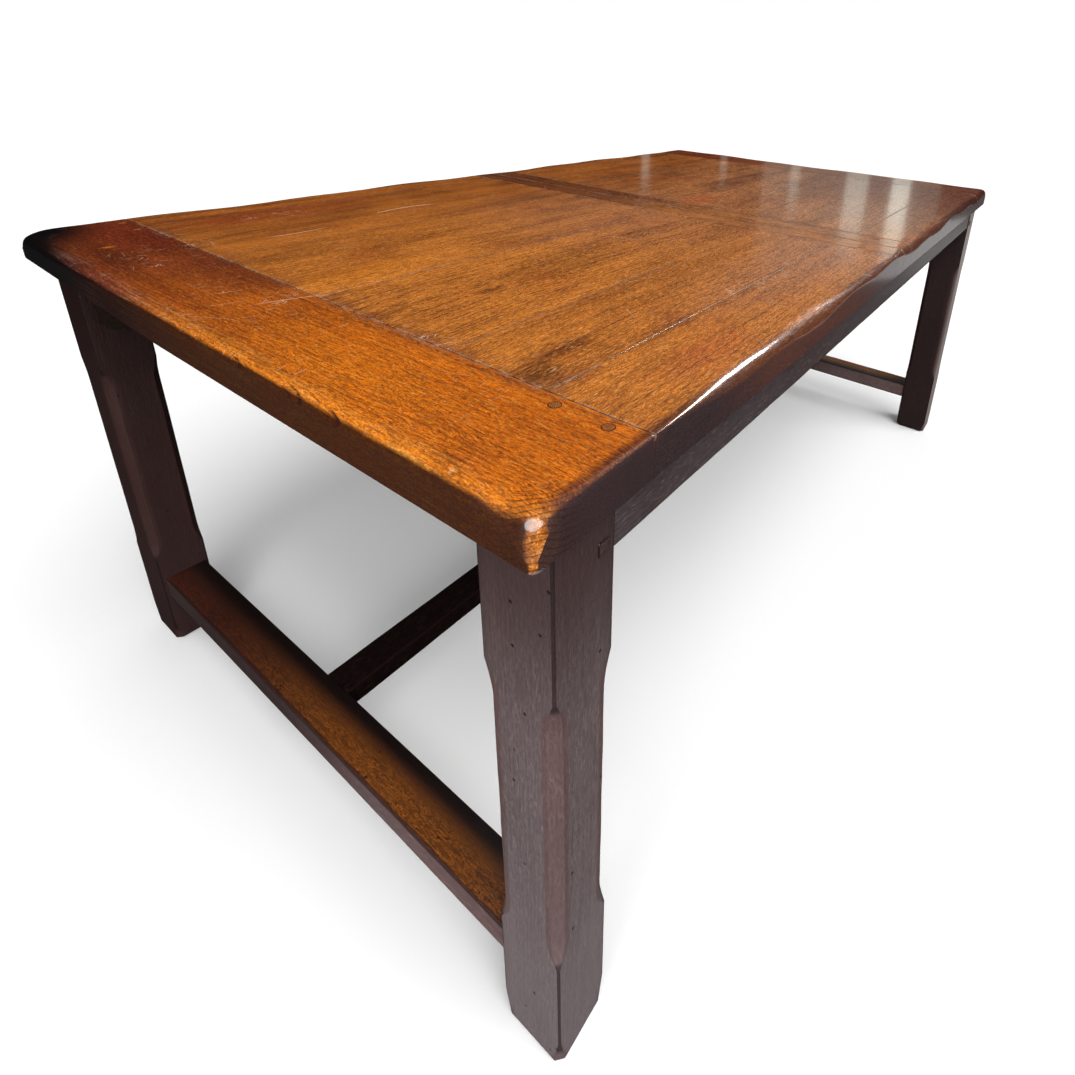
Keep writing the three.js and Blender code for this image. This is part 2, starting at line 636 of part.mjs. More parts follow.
function addEndStretcher(end) {
  const bottom = STRETCHER_TOP - STRETCHER_HEIGHT;
  const outline = [
    [STRETCHER_INNER_X + STRETCHER_ARRIS, bottom],
    [STRETCHER_OUTER_X - STRETCHER_ARRIS, bottom],
    [STRETCHER_OUTER_X, bottom + STRETCHER_ARRIS],
    [STRETCHER_OUTER_X, STRETCHER_TOP - STRETCHER_WORN_EDGE],
    [STRETCHER_OUTER_X - STRETCHER_ARRIS, STRETCHER_TOP - STRETCHER_ARRIS],
    [STRETCHER_OUTER_X - STRETCHER_WORN_EDGE, STRETCHER_TOP],
    [STRETCHER_INNER_X, STRETCHER_TOP],
    [STRETCHER_INNER_X, bottom + STRETCHER_ARRIS],
  ].map(([x, z]) => [end * x, z]);
  let stretcher = extruded('y', outline, -LEG_INNER_Y, LEG_INNER_Y);
  for (const hand of [-1, 1]) stretcher = stretcher.add(stretcherTenon(end, hand, 0));
  stretcher = stretcher.subtract(centreTenon(end, JOINT_CLEARANCE));
  addPiece(`${end < 0 ? 'near' : 'far'}_end_stretcher`, stretcher, STRETCHER_OAK);
}

function addCentreStretcher() {
  const half = CENTRE_STRETCHER_WIDTH / 2;
  const bottom = STRETCHER_TOP - CENTRE_STRETCHER_HEIGHT;
  const outline = [
    [STRETCHER_ARRIS - half, bottom],
    [half - STRETCHER_ARRIS, bottom],
    [half, bottom + STRETCHER_ARRIS],
    [half, STRETCHER_TOP - STRETCHER_ARRIS],
    [half - STRETCHER_ARRIS, STRETCHER_TOP],
    [STRETCHER_ARRIS - half, STRETCHER_TOP],
    [-half, STRETCHER_TOP - STRETCHER_ARRIS],
    [-half, bottom + STRETCHER_ARRIS],
  ];
  let stretcher = extruded('x', outline, -STRETCHER_INNER_X, STRETCHER_INNER_X);
  for (const end of [-1, 1]) stretcher = stretcher.add(centreTenon(end, 0));
  addPiece('centre_stretcher', stretcher, STRETCHER_OAK);
}

// Leg: a rectangular post. All four arrises are lightly eased, and chamfered between two curved stops.
function legSection(level, inset, chamfer) {
  const a = LEG_DEPTH / 2 - inset;
  const b = LEG_WIDTH / 2 - inset;
  const c = chamfer;
  const middleX = (LEG_OUTER_X + LEG_INNER_X) / 2;
  const middleY = (LEG_OUTER_Y + LEG_INNER_Y) / 2;
  return [
    [a, c - b], [a, b - c], [a - c, b], [c - a, b], [-a, b - c], [-a, c - b], [c - a, -b], [a - c, -b],
  ].map(([x, y]) => [middleX + x, middleY + y, level]);
}

function legPost(end, hand) {
  const rings = [legSection(FRAME_TOP, 0, ARRIS_EASE)];
  const swell = LEG_CHAMFER - ARRIS_EASE;
  for (let k = 0; k <= STOP_STEPS; k += 1) {
    const share = k / STOP_STEPS;
    const cut = ARRIS_EASE + swell * Math.sin((share * Math.PI) / 2);
    rings.push(legSection(CHAMFER_TOP - share * STOP_LENGTH, 0, cut));
  }
  for (let k = 0; k <= STOP_STEPS; k += 1) {
    const share = k / STOP_STEPS;
    const cut = LEG_CHAMFER - swell * share * share;
    rings.push(legSection(CHAMFER_BOTTOM + (1 - share) * STOP_LENGTH, 0, cut));
  }
  rings.push(legSection(FOOT_WEAR_HEIGHT, 0, ARRIS_EASE));
  rings.push(legSection(FOOT_BEVEL, 0, FOOT_WORN_ARRIS));
  rings.push(legSection(0, FOOT_BEVEL, FOOT_WORN_ARRIS));
  const mirrored = end * hand < 0;
  return ringBody(rings.map((ring) => {
    const moved = ring.map(([x, y, z]) => [end * x, hand * y, z]);
    return mirrored ? moved.reverse() : moved;
  }));
}

function addLeg(end, hand) {
  let leg = legPost(end, hand);
  const rail = railTenon(end, JOINT_CLEARANCE);
  leg = leg.subtract(block(rail.x, span(hand, ...rail.y), rail.z));
  leg = leg.subtract(stretcherTenon(end, hand, JOINT_CLEARANCE));
  leg = leg.subtract(squarePeg(end, hand, PEG_CLEARANCE, CUT_OVERRUN));
  const place = `${end < 0 ? 'near' : 'far'}_${hand < 0 ? 'right' : 'left'}`;
  addPiece(`leg_${place}`, leg, FRAME_OAK);
  addPiece(`rail_peg_${place}`, squarePeg(end, hand, 0, SQUARE_PEG_PROUD), PEG_OAK);
}

// The frame
for (const end of [-1, 1]) {
  for (const hand of [-1, 1]) addLeg(end, hand);
  addEndStretcher(end);
}
for (const hand of [-1, 1]) {
  addSideRail(hand);
  addGuide(hand);
}
addCentreStretcher();

// The bearers. The inner two carry the guides, and the outer two let the runners by.
addBearer('near_inner_bearer', -INNER_BEARER_X, true);
addBearer('far_inner_bearer', INNER_BEARER_X, true);
addBearer('near_outer_bearer', -OUTER_BEARER_X, false);
addBearer('far_outer_bearer', OUTER_BEARER_X, false);

// The two halves of the top
addHalf('near', -1, boardJoints(NEAR_RIGHT_BOARD, NEAR_MIDDLE_SHARES), WARM_OAK);
addHalf('far', 1, boardJoints(FAR_RIGHT_BOARD, FAR_MIDDLE_SHARES), RED_OAK);
addDowels();

export default table;
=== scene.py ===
# %% [markdown]
# An extending dining table of stained and waxed oak. Its top is split across the middle, and each half
# slides outwards on wooden runners over a frame of four legs, two side rails and an H of stretchers.
# The measured model comes first: it says where every piece is, and everything below is put in its place.

# %% Load the measured model
import functools
import math

import bpy
import numpy as np
from mathutils import Matrix


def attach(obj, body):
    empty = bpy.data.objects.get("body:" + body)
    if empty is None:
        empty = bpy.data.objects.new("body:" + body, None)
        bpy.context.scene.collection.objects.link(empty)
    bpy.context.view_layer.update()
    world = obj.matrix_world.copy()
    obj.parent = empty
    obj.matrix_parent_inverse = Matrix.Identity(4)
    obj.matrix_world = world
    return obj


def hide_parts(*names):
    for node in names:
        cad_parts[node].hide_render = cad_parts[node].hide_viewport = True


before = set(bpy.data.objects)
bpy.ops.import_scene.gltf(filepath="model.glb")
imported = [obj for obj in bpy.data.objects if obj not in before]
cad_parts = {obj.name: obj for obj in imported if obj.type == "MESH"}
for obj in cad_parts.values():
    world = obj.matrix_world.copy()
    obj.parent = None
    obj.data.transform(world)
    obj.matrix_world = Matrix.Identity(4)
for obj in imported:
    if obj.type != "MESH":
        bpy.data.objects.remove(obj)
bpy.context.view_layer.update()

# %% [markdown]
# The camera stands beyond the near right corner, 27 cm above the top, and looks along the table.
# A camera can be turned by hand until the picture fits, or worked out from the table's own corners.
# The second way was used: the three directions below are the picture's right, down and into the depth.

# %% Camera
PICTURE_WIDTH = 1075
FOCAL_LENGTH_PX = 635.386
OPTICAL_CENTRE_PX = (668.871, 309.491)
SENSOR_WIDTH = 36
CAMERA_PLACE = (-1.1483784, -0.7772288, 1.0445204)
PICTURE_RIGHT = np.array([0.5532358259, -0.8313853487, 0.0522352653])
PICTURE_DOWN = np.array([-0.2659747806, -0.2357173326, -0.9347164036])
INTO_DEPTH = np.array([0.7894222805, 0.5032253384, -0.3515348089])

camera_data = bpy.data.cameras.new("corner_view")
camera_data.sensor_width = SENSOR_WIDTH
camera_data.lens = FOCAL_LENGTH_PX / PICTURE_WIDTH * SENSOR_WIDTH
camera_data.shift_x = (PICTURE_WIDTH / 2 - OPTICAL_CENTRE_PX[0]) / PICTURE_WIDTH
camera_data.shift_y = (OPTICAL_CENTRE_PX[1] - PICTURE_WIDTH / 2) / PICTURE_WIDTH
camera_data.clip_start = 0.02
camera_data.clip_end = 200
camera = bpy.data.objects.new("corner_view", camera_data)
turned = Matrix(np.stack([PICTURE_RIGHT, -PICTURE_DOWN, -INTO_DEPTH], axis=1).tolist()).to_4x4()
camera.matrix_world = Matrix.Translation(CAMERA_PLACE) @ turned
bpy.context.scene.collection.objects.link(camera)
bpy.context.scene.camera = camera
bpy.context.scene.view_settings.view_transform = "Standard"
shift = (round(camera_data.shift_x, 3), round(camera_data.shift_y, 3))
print("lens", round(camera_data.lens, 2), "mm, shift", *shift)

# %% [markdown]
# The table stands on a plain white floor under soft light, as in a studio. A wide sun gives even light
# and a soft shadow, and a lamp beside the camera lights the near end. Neither shows in the polish: what
# that mirrors is a dim room, a few tall windows beyond the far end, and three lamps that give no light
# of their own. One makes the highlight of the near corner, one the bright line along the near part of
# the right edge, and one lies low beyond the far end and greys the side faces.

# %% A small helper for nodes
def add_node(tree, kind, inputs=None, **settings):
    """Adds a node, makes its settings, then fills each named input with a value or a link."""
    node = tree.nodes.new(kind)
    for name, value in settings.items():
        setattr(node, name, value)
    for name, value in (inputs or {}).items():
        if isinstance(value, bpy.types.NodeSocket):
            tree.links.new(value, node.inputs[name])
        else:
            node.inputs[name].default_value = value
    return node


# %% Floor
FLOOR_HALF = 45.0
floor_mesh = bpy.data.meshes.new("studio_floor")
floor_signs = [(-1, -1), (1, -1), (1, 1), (-1, 1)]
floor_mesh.from_pydata([(x * FLOOR_HALF, y * FLOOR_HALF, 0) for x, y in floor_signs], [], [(0, 1, 2, 3)])
floor = bpy.data.objects.new("studio_floor", floor_mesh)
bpy.context.scene.collection.objects.link(floor)
floor_paint = bpy.data.materials.new("white_floor")
floor_paint.use_nodes = True
floor_shader = floor_paint.node_tree.nodes["Principled BSDF"]
floor_shader.inputs["Roughness"].default_value = 1.0
floor_shader.inputs["Specular IOR Level"].default_value = 0.0
FLOOR_TONE = 0.95
FLOOR_BOUNCE = 0.22
FLOOR_IN_POLISH = 0.02
floor_tree = floor_paint.node_tree
floor_path = add_node(floor_tree, "ShaderNodeLightPath").outputs
mirrored = {0: floor_path["Is Glossy Ray"], 2: FLOOR_BOUNCE, 3: FLOOR_IN_POLISH}
bounce = add_node(floor_tree, "ShaderNodeMix", mirrored).outputs[0]
seen = {0: floor_path["Is Camera Ray"], 2: bounce, 3: FLOOR_TONE}
tone = add_node(floor_tree, "ShaderNodeMix", seen)
floor_tree.links.new(tone.outputs[0], floor_shader.inputs["Base Color"])
floor_mesh.materials.append(floor_paint)

# %% World: white behind the table, softer in its polish
world = bpy.data.worlds.new("soft_room")
world.use_nodes = True
bpy.context.scene.world = world
room = world.node_tree
room.nodes.clear()
SEEN_WHITE = 1.0
ROOM_LIGHT = 0.42
ROOM_IN_POLISH = 0.012
path = add_node(room, "ShaderNodeLightPath").outputs
dim = add_node(room, "ShaderNodeMix", {0: path["Is Glossy Ray"], 2: ROOM_LIGHT, 3: ROOM_IN_POLISH})
strength = add_node(room, "ShaderNodeMix", {0: path["Is Camera Ray"], 2: dim.outputs[0], 3: SEEN_WHITE})
sky = add_node(room, "ShaderNodeBackground", {"Color": (1, 1, 1, 1), "Strength": strength.outputs[0]})
add_node(room, "ShaderNodeOutputWorld", {"Surface": sky.outputs[0]})

# %% Lamps
def add_lamp(name, place, target, width, height, power, tint=(1, 1, 1), mirrored=True, lights=True):
    """A lamp at a place, facing a target, never seen itself by the camera. A lamp that is mirrored shows
    in the polish. One that doesn't light shows only there, and is an ellipse rather than a rectangle."""
    lamp = bpy.data.lights.new(name, "AREA")
    lamp.shape = "RECTANGLE" if lights else "ELLIPSE"
    lamp.size, lamp.size_y = width, height
    lamp.energy, lamp.color = power, tint
    holder = bpy.data.objects.new(name, lamp)
    back = np.array(place, float) - np.array(target, float)
    back /= np.linalg.norm(back)
    side = np.cross([0.0, 0.0, 1.0], back)
    side /= np.linalg.norm(side)
    up = np.cross(back, side)
    facing = Matrix(np.stack([side, up, back], axis=1).tolist()).to_4x4()
    holder.matrix_world = Matrix.Translation(place) @ facing
    holder.visible_camera = False
    holder.visible_glossy = mirrored
    holder.visible_diffuse = lights
    bpy.context.scene.collection.objects.link(holder)


sun_light = bpy.data.lights.new("wide_sun", "SUN")
sun_light.energy = 3.0
sun_light.angle = math.radians(60)
sun = bpy.data.objects.new("wide_sun", sun_light)
sun.rotation_euler = (math.radians(38), math.radians(-8), 0)
sun.visible_glossy = False
bpy.context.scene.collection.objects.link(sun)
NEAR_RIGHT_LEG = (-0.85, -0.45, 0.35)
NEAR_CORNER = (-0.905, -0.52, 0.76)
RIGHT_ARRIS = (-0.665, -0.53, 0.765)
add_lamp("camera_side_lamp", (-2.7, -0.7, 0.6), NEAR_RIGHT_LEG, 1.2, 1.2, 26, mirrored=False)
add_lamp("corner_lamp", (-1.895, -1.006, 1.30), NEAR_CORNER, 1.5, 0.9, 36, lights=False)
add_lamp("arris_lamp", (0.60, -0.85, 1.69), RIGHT_ARRIS, 0.5, 0.42, 34, lights=False)
add_lamp("bright_ground", (3.1, -1.5, 0.03), (3.0, -1.5, 2.0), 1.5, 2.8, 10, lights=False)

# %% [markdown]
# Old windows beyond the far end mirror as upright pale streaks on the far half. A mirror keeps the
# compass direction of a line of sight and flips its height, so each lamp stands in the direction in
# which its streak is seen, at the height found by mirroring the camera in the top.

# %% Windows that the polish mirrors
MIRRORED_CAMERA_HEIGHT = 2 * 0.770 - CAMERA_PLACE[2]
WINDOW_DISTANCE = 5.0
WINDOW_TINT = (0.95, 1.0, 0.88)


def add_window(name, bearing, low, high, width, power):
    """A tall lamp at a compass bearing from the camera, spanning two elevations, all in degrees."""
    x = CAMERA_PLACE[0] + WINDOW_DISTANCE * math.cos(math.radians(bearing))
    y = CAMERA_PLACE[1] + WINDOW_DISTANCE * math.sin(math.radians(bearing))
    rise = [WINDOW_DISTANCE * math.tan(math.radians(elevation)) for elevation in (low, high)]
    middle = MIRRORED_CAMERA_HEIGHT + sum(rise) / 2
    target = (CAMERA_PLACE[0], CAMERA_PLACE[1], middle)
    add_lamp(name, (x, y, middle), target, width, rise[1] - rise[0], power, WINDOW_TINT)


WINDOWS = [
    ("window_1", 35.3, 6.5, 9.6, 0.06, 0.04),
    ("window_2", 28.4, 6.5, 8.6, 0.05, 0.02),
    ("window_3", 22.1, 6.2, 11.0, 0.07, 0.06),
    ("window_4", 16.8, 7.4, 13.6, 0.16, 0.34),
    ("window_5", 13.2, 7.6, 14.0, 0.13, 0.56),
    ("pale_wall", 17.5, 5.5, 16.0, 1.30, 1.00),
]
for window in WINDOWS:
    add_window(*window)
print("windows:", len(WINDOWS))

# %% [markdown]
# The sizes below are the measured model's own, in millimetres, so that every new surface lies where its
# solid is. A piece is made from numbers rather than by hand because the same few shapes come back many
# times: a plank with a worn edge, a squared bar with chamfers, a peg.

# %% Sizes
MM = 0.001
HEIGHT = 770.0
THICKNESS = 46.0
UNDERSIDE = HEIGHT - THICKNESS
FRAME_TOP = UNDERSIDE - 0.5
TOP_LENGTH = 1830.0
TOP_WIDTH = 1070.0
HALF_LENGTH = TOP_LENGTH / 2
HALF_WIDTH = TOP_WIDTH / 2
BREADBOARD_JOINT = 777.0
CLEAT_FACE = 0.3
CLEAT_JOINT = 57.3
NEAR_JOINTS = [-535, -417, -278.5, -43.8, 204.0, 454, 535]
FAR_JOINTS = [-535, -428, -204.9, 37.3, 276.3, 454, 535]
LEG_X = (808.0, 882.0)
LEG_Y = (436.0, 520.0)
ENDS = [("near", -1), ("far", 1)]
HANDS = [("right", -1), ("left", 1)]
FRAME_CORNERS = [(*end, *hand) for end in ENDS for hand in HANDS]
print("top", TOP_LENGTH, "x", TOP_WIDTH, "x", THICKNESS, "mm at", HEIGHT, "mm")


def on_side(sign, span):
    """A span of the plus side, moved to the side of the given sign."""
    return sorted(sign * value for value in span)


# %% Waves that stand for hand work
def wander(along, seed, length, count=5):
    """A smooth wave between about -1 and 1: the mean of sines of seeded phase and of falling length."""
    chance = np.random.default_rng(seed)
    turns = chance.uniform(0, 2 * np.pi, count)
    lengths = length * chance.uniform(0.8, 1.25, count) / (1 + np.arange(count) * 0.9)
    weights = 1 / (1 + np.arange(count))
    waves = np.sin(2 * np.pi * np.asarray(along)[..., None] / lengths + turns)
    return (waves * weights).sum(axis=-1) / weights.sum()


# %% From rings to a closed mesh
def skin(rings):
    """Corners and faces of a closed bar. Neighbouring rings are joined by four-sided faces, and each
    end is closed by triangles that meet in the middle of its last ring."""
    stations, points, _ = rings.shape
    here = np.arange(stations * points).reshape(stations, points)
    after = np.roll(here, -1, axis=1)
    walls = np.stack([here[:-1], after[:-1], after[1:], here[1:]], axis=-1).reshape(-1, 4)
    first = np.full(points, stations * points)
    start = np.stack([after[0], here[0], first], axis=-1)
    finish = np.stack([here[-1], after[-1], first + 1], axis=-1)
    corners = np.concatenate([rings.reshape(-1, 3), rings[[0, -1]].mean(axis=1)])
    return corners, walls, np.concatenate([start, finish])


def enclosed(corners, walls, ends):
    """Volume inside the faces: the sum over triangles of a . (b x c) / 6, positive if they face out."""
    triangles = np.concatenate([walls[:, [0, 1, 2]], walls[:, [0, 2, 3]], ends])
    a, b, c = (corners[triangles[:, k]] for k in range(3))
    return float(np.einsum("ij,ij->i", a, np.cross(b, c)).sum() / 6)


def closed_mesh(name, rings):
    """A mesh whose faces look outwards, from rings in millimetres."""
    corners, walls, ends = skin(rings)
    if enclosed(corners, walls, ends) < 0:
        walls, ends = walls[:, ::-1], ends[:, ::-1]
    mesh = bpy.data.meshes.new(name)
    mesh.from_pydata((corners * MM).tolist(), [], walls.tolist() + ends.tolist())
    return mesh, corners


# %% From a mesh to a piece that rides on its body
pieces_made = []
SHARP_ABOVE = 38
GRAIN_ORDER = {"x": [0, 1, 2], "y": [1, 0, 2], "z": [2, 0, 1]}


def add_piece(name, rings, body, marks, grain="x"):
    """A named piece from rings in millimetres. marks holds one number per ring point for its finish,
    and grain is the axis along which the wood grew: it gives each corner's place in its own plank."""
    mesh, corners = closed_mesh(name, rings)
    mesh.validate()
    mesh.shade_smooth()
    mesh.set_sharp_from_angle(angle=math.radians(SHARP_ABOVE))
    for mark, values in marks.items():
        full = np.broadcast_to(np.asarray(values, float), rings.shape[:2])
        tips = full[[0, -1]].mean(axis=1)
        layer = mesh.attributes.new(mark, "FLOAT", "POINT")
        layer.data.foreach_set("value", np.concatenate([full.reshape(-1), tips]).astype(np.float32))
    middle = (corners.min(axis=0) + corners.max(axis=0)) / 2
    own = ((corners - middle * (np.arange(3) != "xyz".index(grain))) * MM)[:, GRAIN_ORDER[grain]]
    layer = mesh.attributes.new("grain", "FLOAT_VECTOR", "POINT")
    layer.data.foreach_set("vector", own.astype(np.float32).reshape(-1))
    piece = bpy.data.objects.new(name, mesh)
    bpy.context.scene.collection.objects.link(piece)
    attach(piece, body)
    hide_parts(name.removesuffix("_worn"))
    pieces_made.append(piece)
    return piece


# %% [markdown]
# The top's outer edge is one long rounding, worn by hands: wide in places, sharp in others. Two waves
# along each side drive its radius, calm near the corners. In plan the corners are rounded too, the near
# left one most. Each plank then takes its height from this one surface, so that the edge runs on from
# plank to plank as if it had been worn after the top was put together.

# %% The worn rim of the top
MEAN_RIM = 13
CALM_BY_CORNER = 140
DRIFT_LENGTH = 610
RIPPLE_LENGTH = 233


def rounding(along, length, turn):
    """Radius of the rim: its mean times one plus two waves, one more than twice as long as the other,
    which fade out towards a corner."""
    calm = np.clip((length / 2 - np.abs(along)) / CALM_BY_CORNER, 0, 1)
    drift = 0.45 * np.sin(2 * np.pi * along / DRIFT_LENGTH + turn)
    ripple = 0.32 * np.sin(2 * np.pi * along / RIPPLE_LENGTH + 2 * turn)
    return MEAN_RIM * (1 + calm * (drift + ripple))


OUTLINE_CORNERS = (46.0, 8.0)
WORN_CORNERS = (54.0, 19.0)


def corner_radius(x, y, radii):
    """Radius of the corner in plan: the first of the two at the near left corner, the second at the
    others. The worn surface turns a corner more widely than the outline below it."""
    return np.where((x < 0) & (y > 0), *radii)


def rim_distance(x, y):
    """How far inside the outline a point lies: the smaller distance to a side, or inside the square of
    a corner its radius minus the distance to the centre of its arc."""
    to_end = HALF_LENGTH - np.abs(x)
    to_side = HALF_WIDTH - np.abs(y)
    radius = corner_radius(x, y, WORN_CORNERS)
    rounded = radius - np.hypot(radius - to_end, radius - to_side)
    return np.where((to_end < radius) & (to_side < radius), rounded, np.minimum(to_end, to_side))


def rim_radius(x, y):
    """The rounding's radius at the nearest edge, eased from one edge to the next over 40 mm at a corner.
    The near right corner itself, which every passer-by has touched, is rounder still."""
    side = np.where(y < 0, rounding(x, TOP_LENGTH, 0), rounding(-x, TOP_LENGTH, 2))
    from_corner = np.hypot(x + HALF_LENGTH, y + HALF_WIDTH)
    side = side * (1 - 0.5 * np.clip(1.6 - from_corner / 110, 0, 1))
    near_end = 14 + 0.4 * (rounding(-y, TOP_WIDTH, 3) - MEAN_RIM)
    end = np.where(x > 0, rounding(y, TOP_WIDTH, 1), near_end)
    share = np.clip(0.5 + ((HALF_LENGTH - np.abs(x)) - (HALF_WIDTH - np.abs(y))) / 40, 0, 1)
    knocks = 1 + 0.05 * wander(x + y, 5, 70) + 0.03 * wander(x - y, 6, 31)
    polished_corner = 1 + 1.3 * np.clip(1 - from_corner / 60, 0, 1)
    return (share * side + (1 - share) * end) * knocks * polished_corner


FACET_SLOPE = 2.4


def top_level(x, y):
    """Height of the worn surface: the top less the rounding's drop, radius - sqrt(radius^2 - (radius -
    distance)^2), less a hollow of at most 0.35 mm that leaves the rim alone. The small part of a corner
    that lies outside the worn outline is a steep facet."""
    outside = np.clip(-rim_distance(x, y), 0, None)
    distance = np.clip(rim_distance(x, y), 0, None)
    radius = rim_radius(x, y)
    short = np.clip(radius - distance, 0, radius)
    drop = radius - np.sqrt(np.clip(radius**2 - short**2, 0, None))
    hollow = 0.5 + 0.25 * wander(x, 11, 420) + 0.25 * wander(y + 0.3 * x, 12, 190)
    sunk = 0.1 + 0.3 * np.clip(hollow, 0, 1) * np.clip(distance / 60, 0, 1)
    return HEIGHT - drop - FACET_SLOPE * outside - sunk


# %% One plank
RIM_STEPS = np.array([0, 0.12, 0.5, 1.1, 2.0, 3.2, 4.7, 6.5, 8.6, 11.0, 13.8, 17.0, 21.0, 27.0])
JOINT_STEPS = np.array([0, 0.35, 0.8, 1.5, 4.0])
JOINT_WEAR = 1.1
LOWER_ARRIS = 4.0
JOINT_ARRIS = 0.4
NEAR_EDGE_TAPER = 12.0
TAPER_FROM, TAPER_TO = 50, 535
FAR_OFF = 1e6


def edge_steps(worn):
    """Distances from an edge at which points are set, close together where the surface bends."""
    return RIM_STEPS if worn else JOINT_STEPS


def across(low, high, low_worn, high_worn, middle):
    """Positions from one edge to the other: each edge's steps and evenly spaced ones between them."""
    from_low = edge_steps(low_worn)
    from_high = edge_steps(high_worn)
    low, high = np.asarray(low, float), np.asarray(high, float)
    start, stop = low + from_low[-1], high - from_high[-1]
    share = np.linspace(0, 1, middle + 2)[1:-1]
    inner = start[..., None] + (stop - start)[..., None] * share
    return np.concatenate([low[..., None] + from_low, inner, high[..., None] - from_high[::-1]], axis=-1)


def outline_end(y, sign):
    """Where the outline lies at a given y: half the length, less the corner's arc."""
    radius = corner_radius(np.full_like(y, sign), y, OUTLINE_CORNERS)
    inside = np.clip(radius - (HALF_WIDTH - np.abs(y)), 0, radius)
    return HALF_LENGTH - (radius - np.sqrt(radius**2 - inside**2))


def plank(lengthwise, along, low, high, worn, middle, grip=(1, 1)):
    """Rings of a plank. along holds the stations, low and high its two edges there, worn says which of
    low edge, high edge, first end and last end are part of the rim. Joints get a small worn V, less deep
    and less wide by the grip of a tight joint."""
    low = np.broadcast_to(np.asarray(low, float), along.shape)
    high = np.broadcast_to(np.asarray(high, float), along.shape)
    wide = across(low, high, worn[0], worn[1], middle)
    run = np.broadcast_to(along[:, None], wide.shape)
    x, y = (run, wide) if lengthwise else (wide, run)
    to_edges = [(wide - low[:, None]) * grip[0], (high[:, None] - wide) * grip[1]]
    to_edges += [run - along[0], along[-1] - run]
    gaps = np.stack([np.full(wide.shape, FAR_OFF) if rim else gap for rim, gap in zip(worn, to_edges)])
    seam = gaps.min(axis=0)
    depth = JOINT_WEAR / np.array([grip[0] ** 2, grip[1] ** 2, 1, 1])[gaps.argmin(axis=0)]
    level = top_level(x, y) - depth * np.clip(1 - seam / JOINT_WEAR, 0, 1) ** 1.6
    ends = np.minimum(along - along[0] if worn[2] else FAR_OFF, along[-1] - along if worn[3] else FAR_OFF)
    floor_level = UNDERSIDE + np.clip(LOWER_ARRIS - ends, 0, None) * np.ones_like(along)
    inset = [LOWER_ARRIS if flag else JOINT_ARRIS for flag in worn[:2]]
    if not lengthwise and worn[0]:
        tapered = np.clip((along - TAPER_FROM) / (TAPER_TO - TAPER_FROM), 0, 1)
        inset[0] = LOWER_ARRIS + NEAR_EDGE_TAPER * tapered
    below = [low + inset[0], high - inset[1], high]
    w = np.concatenate([np.stack(below, -1), wide[:, ::-1], low[:, None]], -1)
    below = [floor_level, floor_level, floor_level + inset[1]]
    z = np.concatenate([np.stack(below, -1), level[:, ::-1], (floor_level + inset[0])[:, None]], -1)
    s = np.broadcast_to(along[:, None], w.shape)
    rings = np.stack([s, w, z] if lengthwise else [w, s, z], axis=-1)
    pad = [(0, 0), (3, 1)]
    marks = {
        "seam": np.pad(seam[:, ::-1], pad, constant_values=FAR_OFF).clip(0, 60) * MM,
        "rim": np.pad(rim_distance(x, y)[:, ::-1], pad, constant_values=0).clip(0, 60) * MM,
    }
    return rings, marks


# %% [markdown]
# Each half has six boards, glued edge to edge, with a worn V along each joint. Some joints have stayed
# tight and hardly show, others have opened a little. The edge boards carry the rim on their outer side.
# Every board gets its own number, so that no two show the same figure.

# %% Boards
STATION = 9.0
OPEN_JOINTS = (-417, -43.8, -428, 276.3)
OPEN_GRIP = 1.8
TIGHT_GRIP = 3.5
HALF_GAP = 0.15


def stations(start, stop, first_worn, last_worn):
    """Places along a plank, close together at its ends and about 9 mm apart between them."""
    count = int((stop - start) / STATION)
    return across(np.array(start), np.array(stop), first_worn, last_worn, count)


def add_boards(end, sign, joints):
    """The boards of one half, between its breadboard end and its cleat."""
    start, stop = on_side(sign, (CLEAT_JOINT, BREADBOARD_JOINT))
    for number, (low, high) in enumerate(zip(joints[:-1], joints[1:]), 1):
        worn = (number == 1, number == len(joints) - 1, False, False)
        gap = [0 if flag else HALF_GAP for flag in worn[:2]]
        places = stations(start + HALF_GAP, stop - HALF_GAP, False, False)
        grip = [OPEN_GRIP if joint in OPEN_JOINTS else TIGHT_GRIP for joint in (low, high)]
        rings, marks = plank(True, places, low + gap[0], high - gap[1], worn, 9, grip)
        marks["plank"] = number * 1.37 + (5.3 if sign > 0 else 0.0)
        add_piece(f"{end}_top_board_{number}_worn", rings, f"{end}_half", marks)
    print(end, "boards:", len(joints) - 1)


add_boards("near", -1, NEAR_JOINTS)
add_boards("far", 1, FAR_JOINTS)


# %% [markdown]
# A breadboard end covers the end grain of the boards, and a narrow cleat does the same at the split.
# Both run crosswise and reach the rim at both ends. The outer side of a breadboard is rim as well, and
# follows the corners' arcs.

# %% Breadboard ends and cleats
def add_crosswise(end, sign):
    """The breadboard end and the cleat of one half."""
    places = stations(-HALF_WIDTH, HALF_WIDTH, True, True)
    outer = sign * outline_end(places, sign)
    inner = np.full_like(places, sign * (BREADBOARD_JOINT + HALF_GAP))
    low, high = (outer, inner) if sign < 0 else (inner, outer)
    rings, marks = plank(False, places, low, high, (sign < 0, sign > 0, True, True), 12)
    marks["plank"] = 21.7 + sign
    add_piece(f"{end}_breadboard_end_worn", rings, f"{end}_half", marks, "y")
    low, high = on_side(sign, (CLEAT_FACE, CLEAT_JOINT - HALF_GAP))
    rings, marks = plank(False, places, low, high, (False, False, True, True), 5)
    marks["plank"] = 31.2 + sign
    return add_piece(f"{end}_centre_cleat_worn", rings, f"{end}_half", marks, "y")


near_cleat = add_crosswise("near", -1)
add_crosswise("far", 1)
print("crosswise planks: 4")

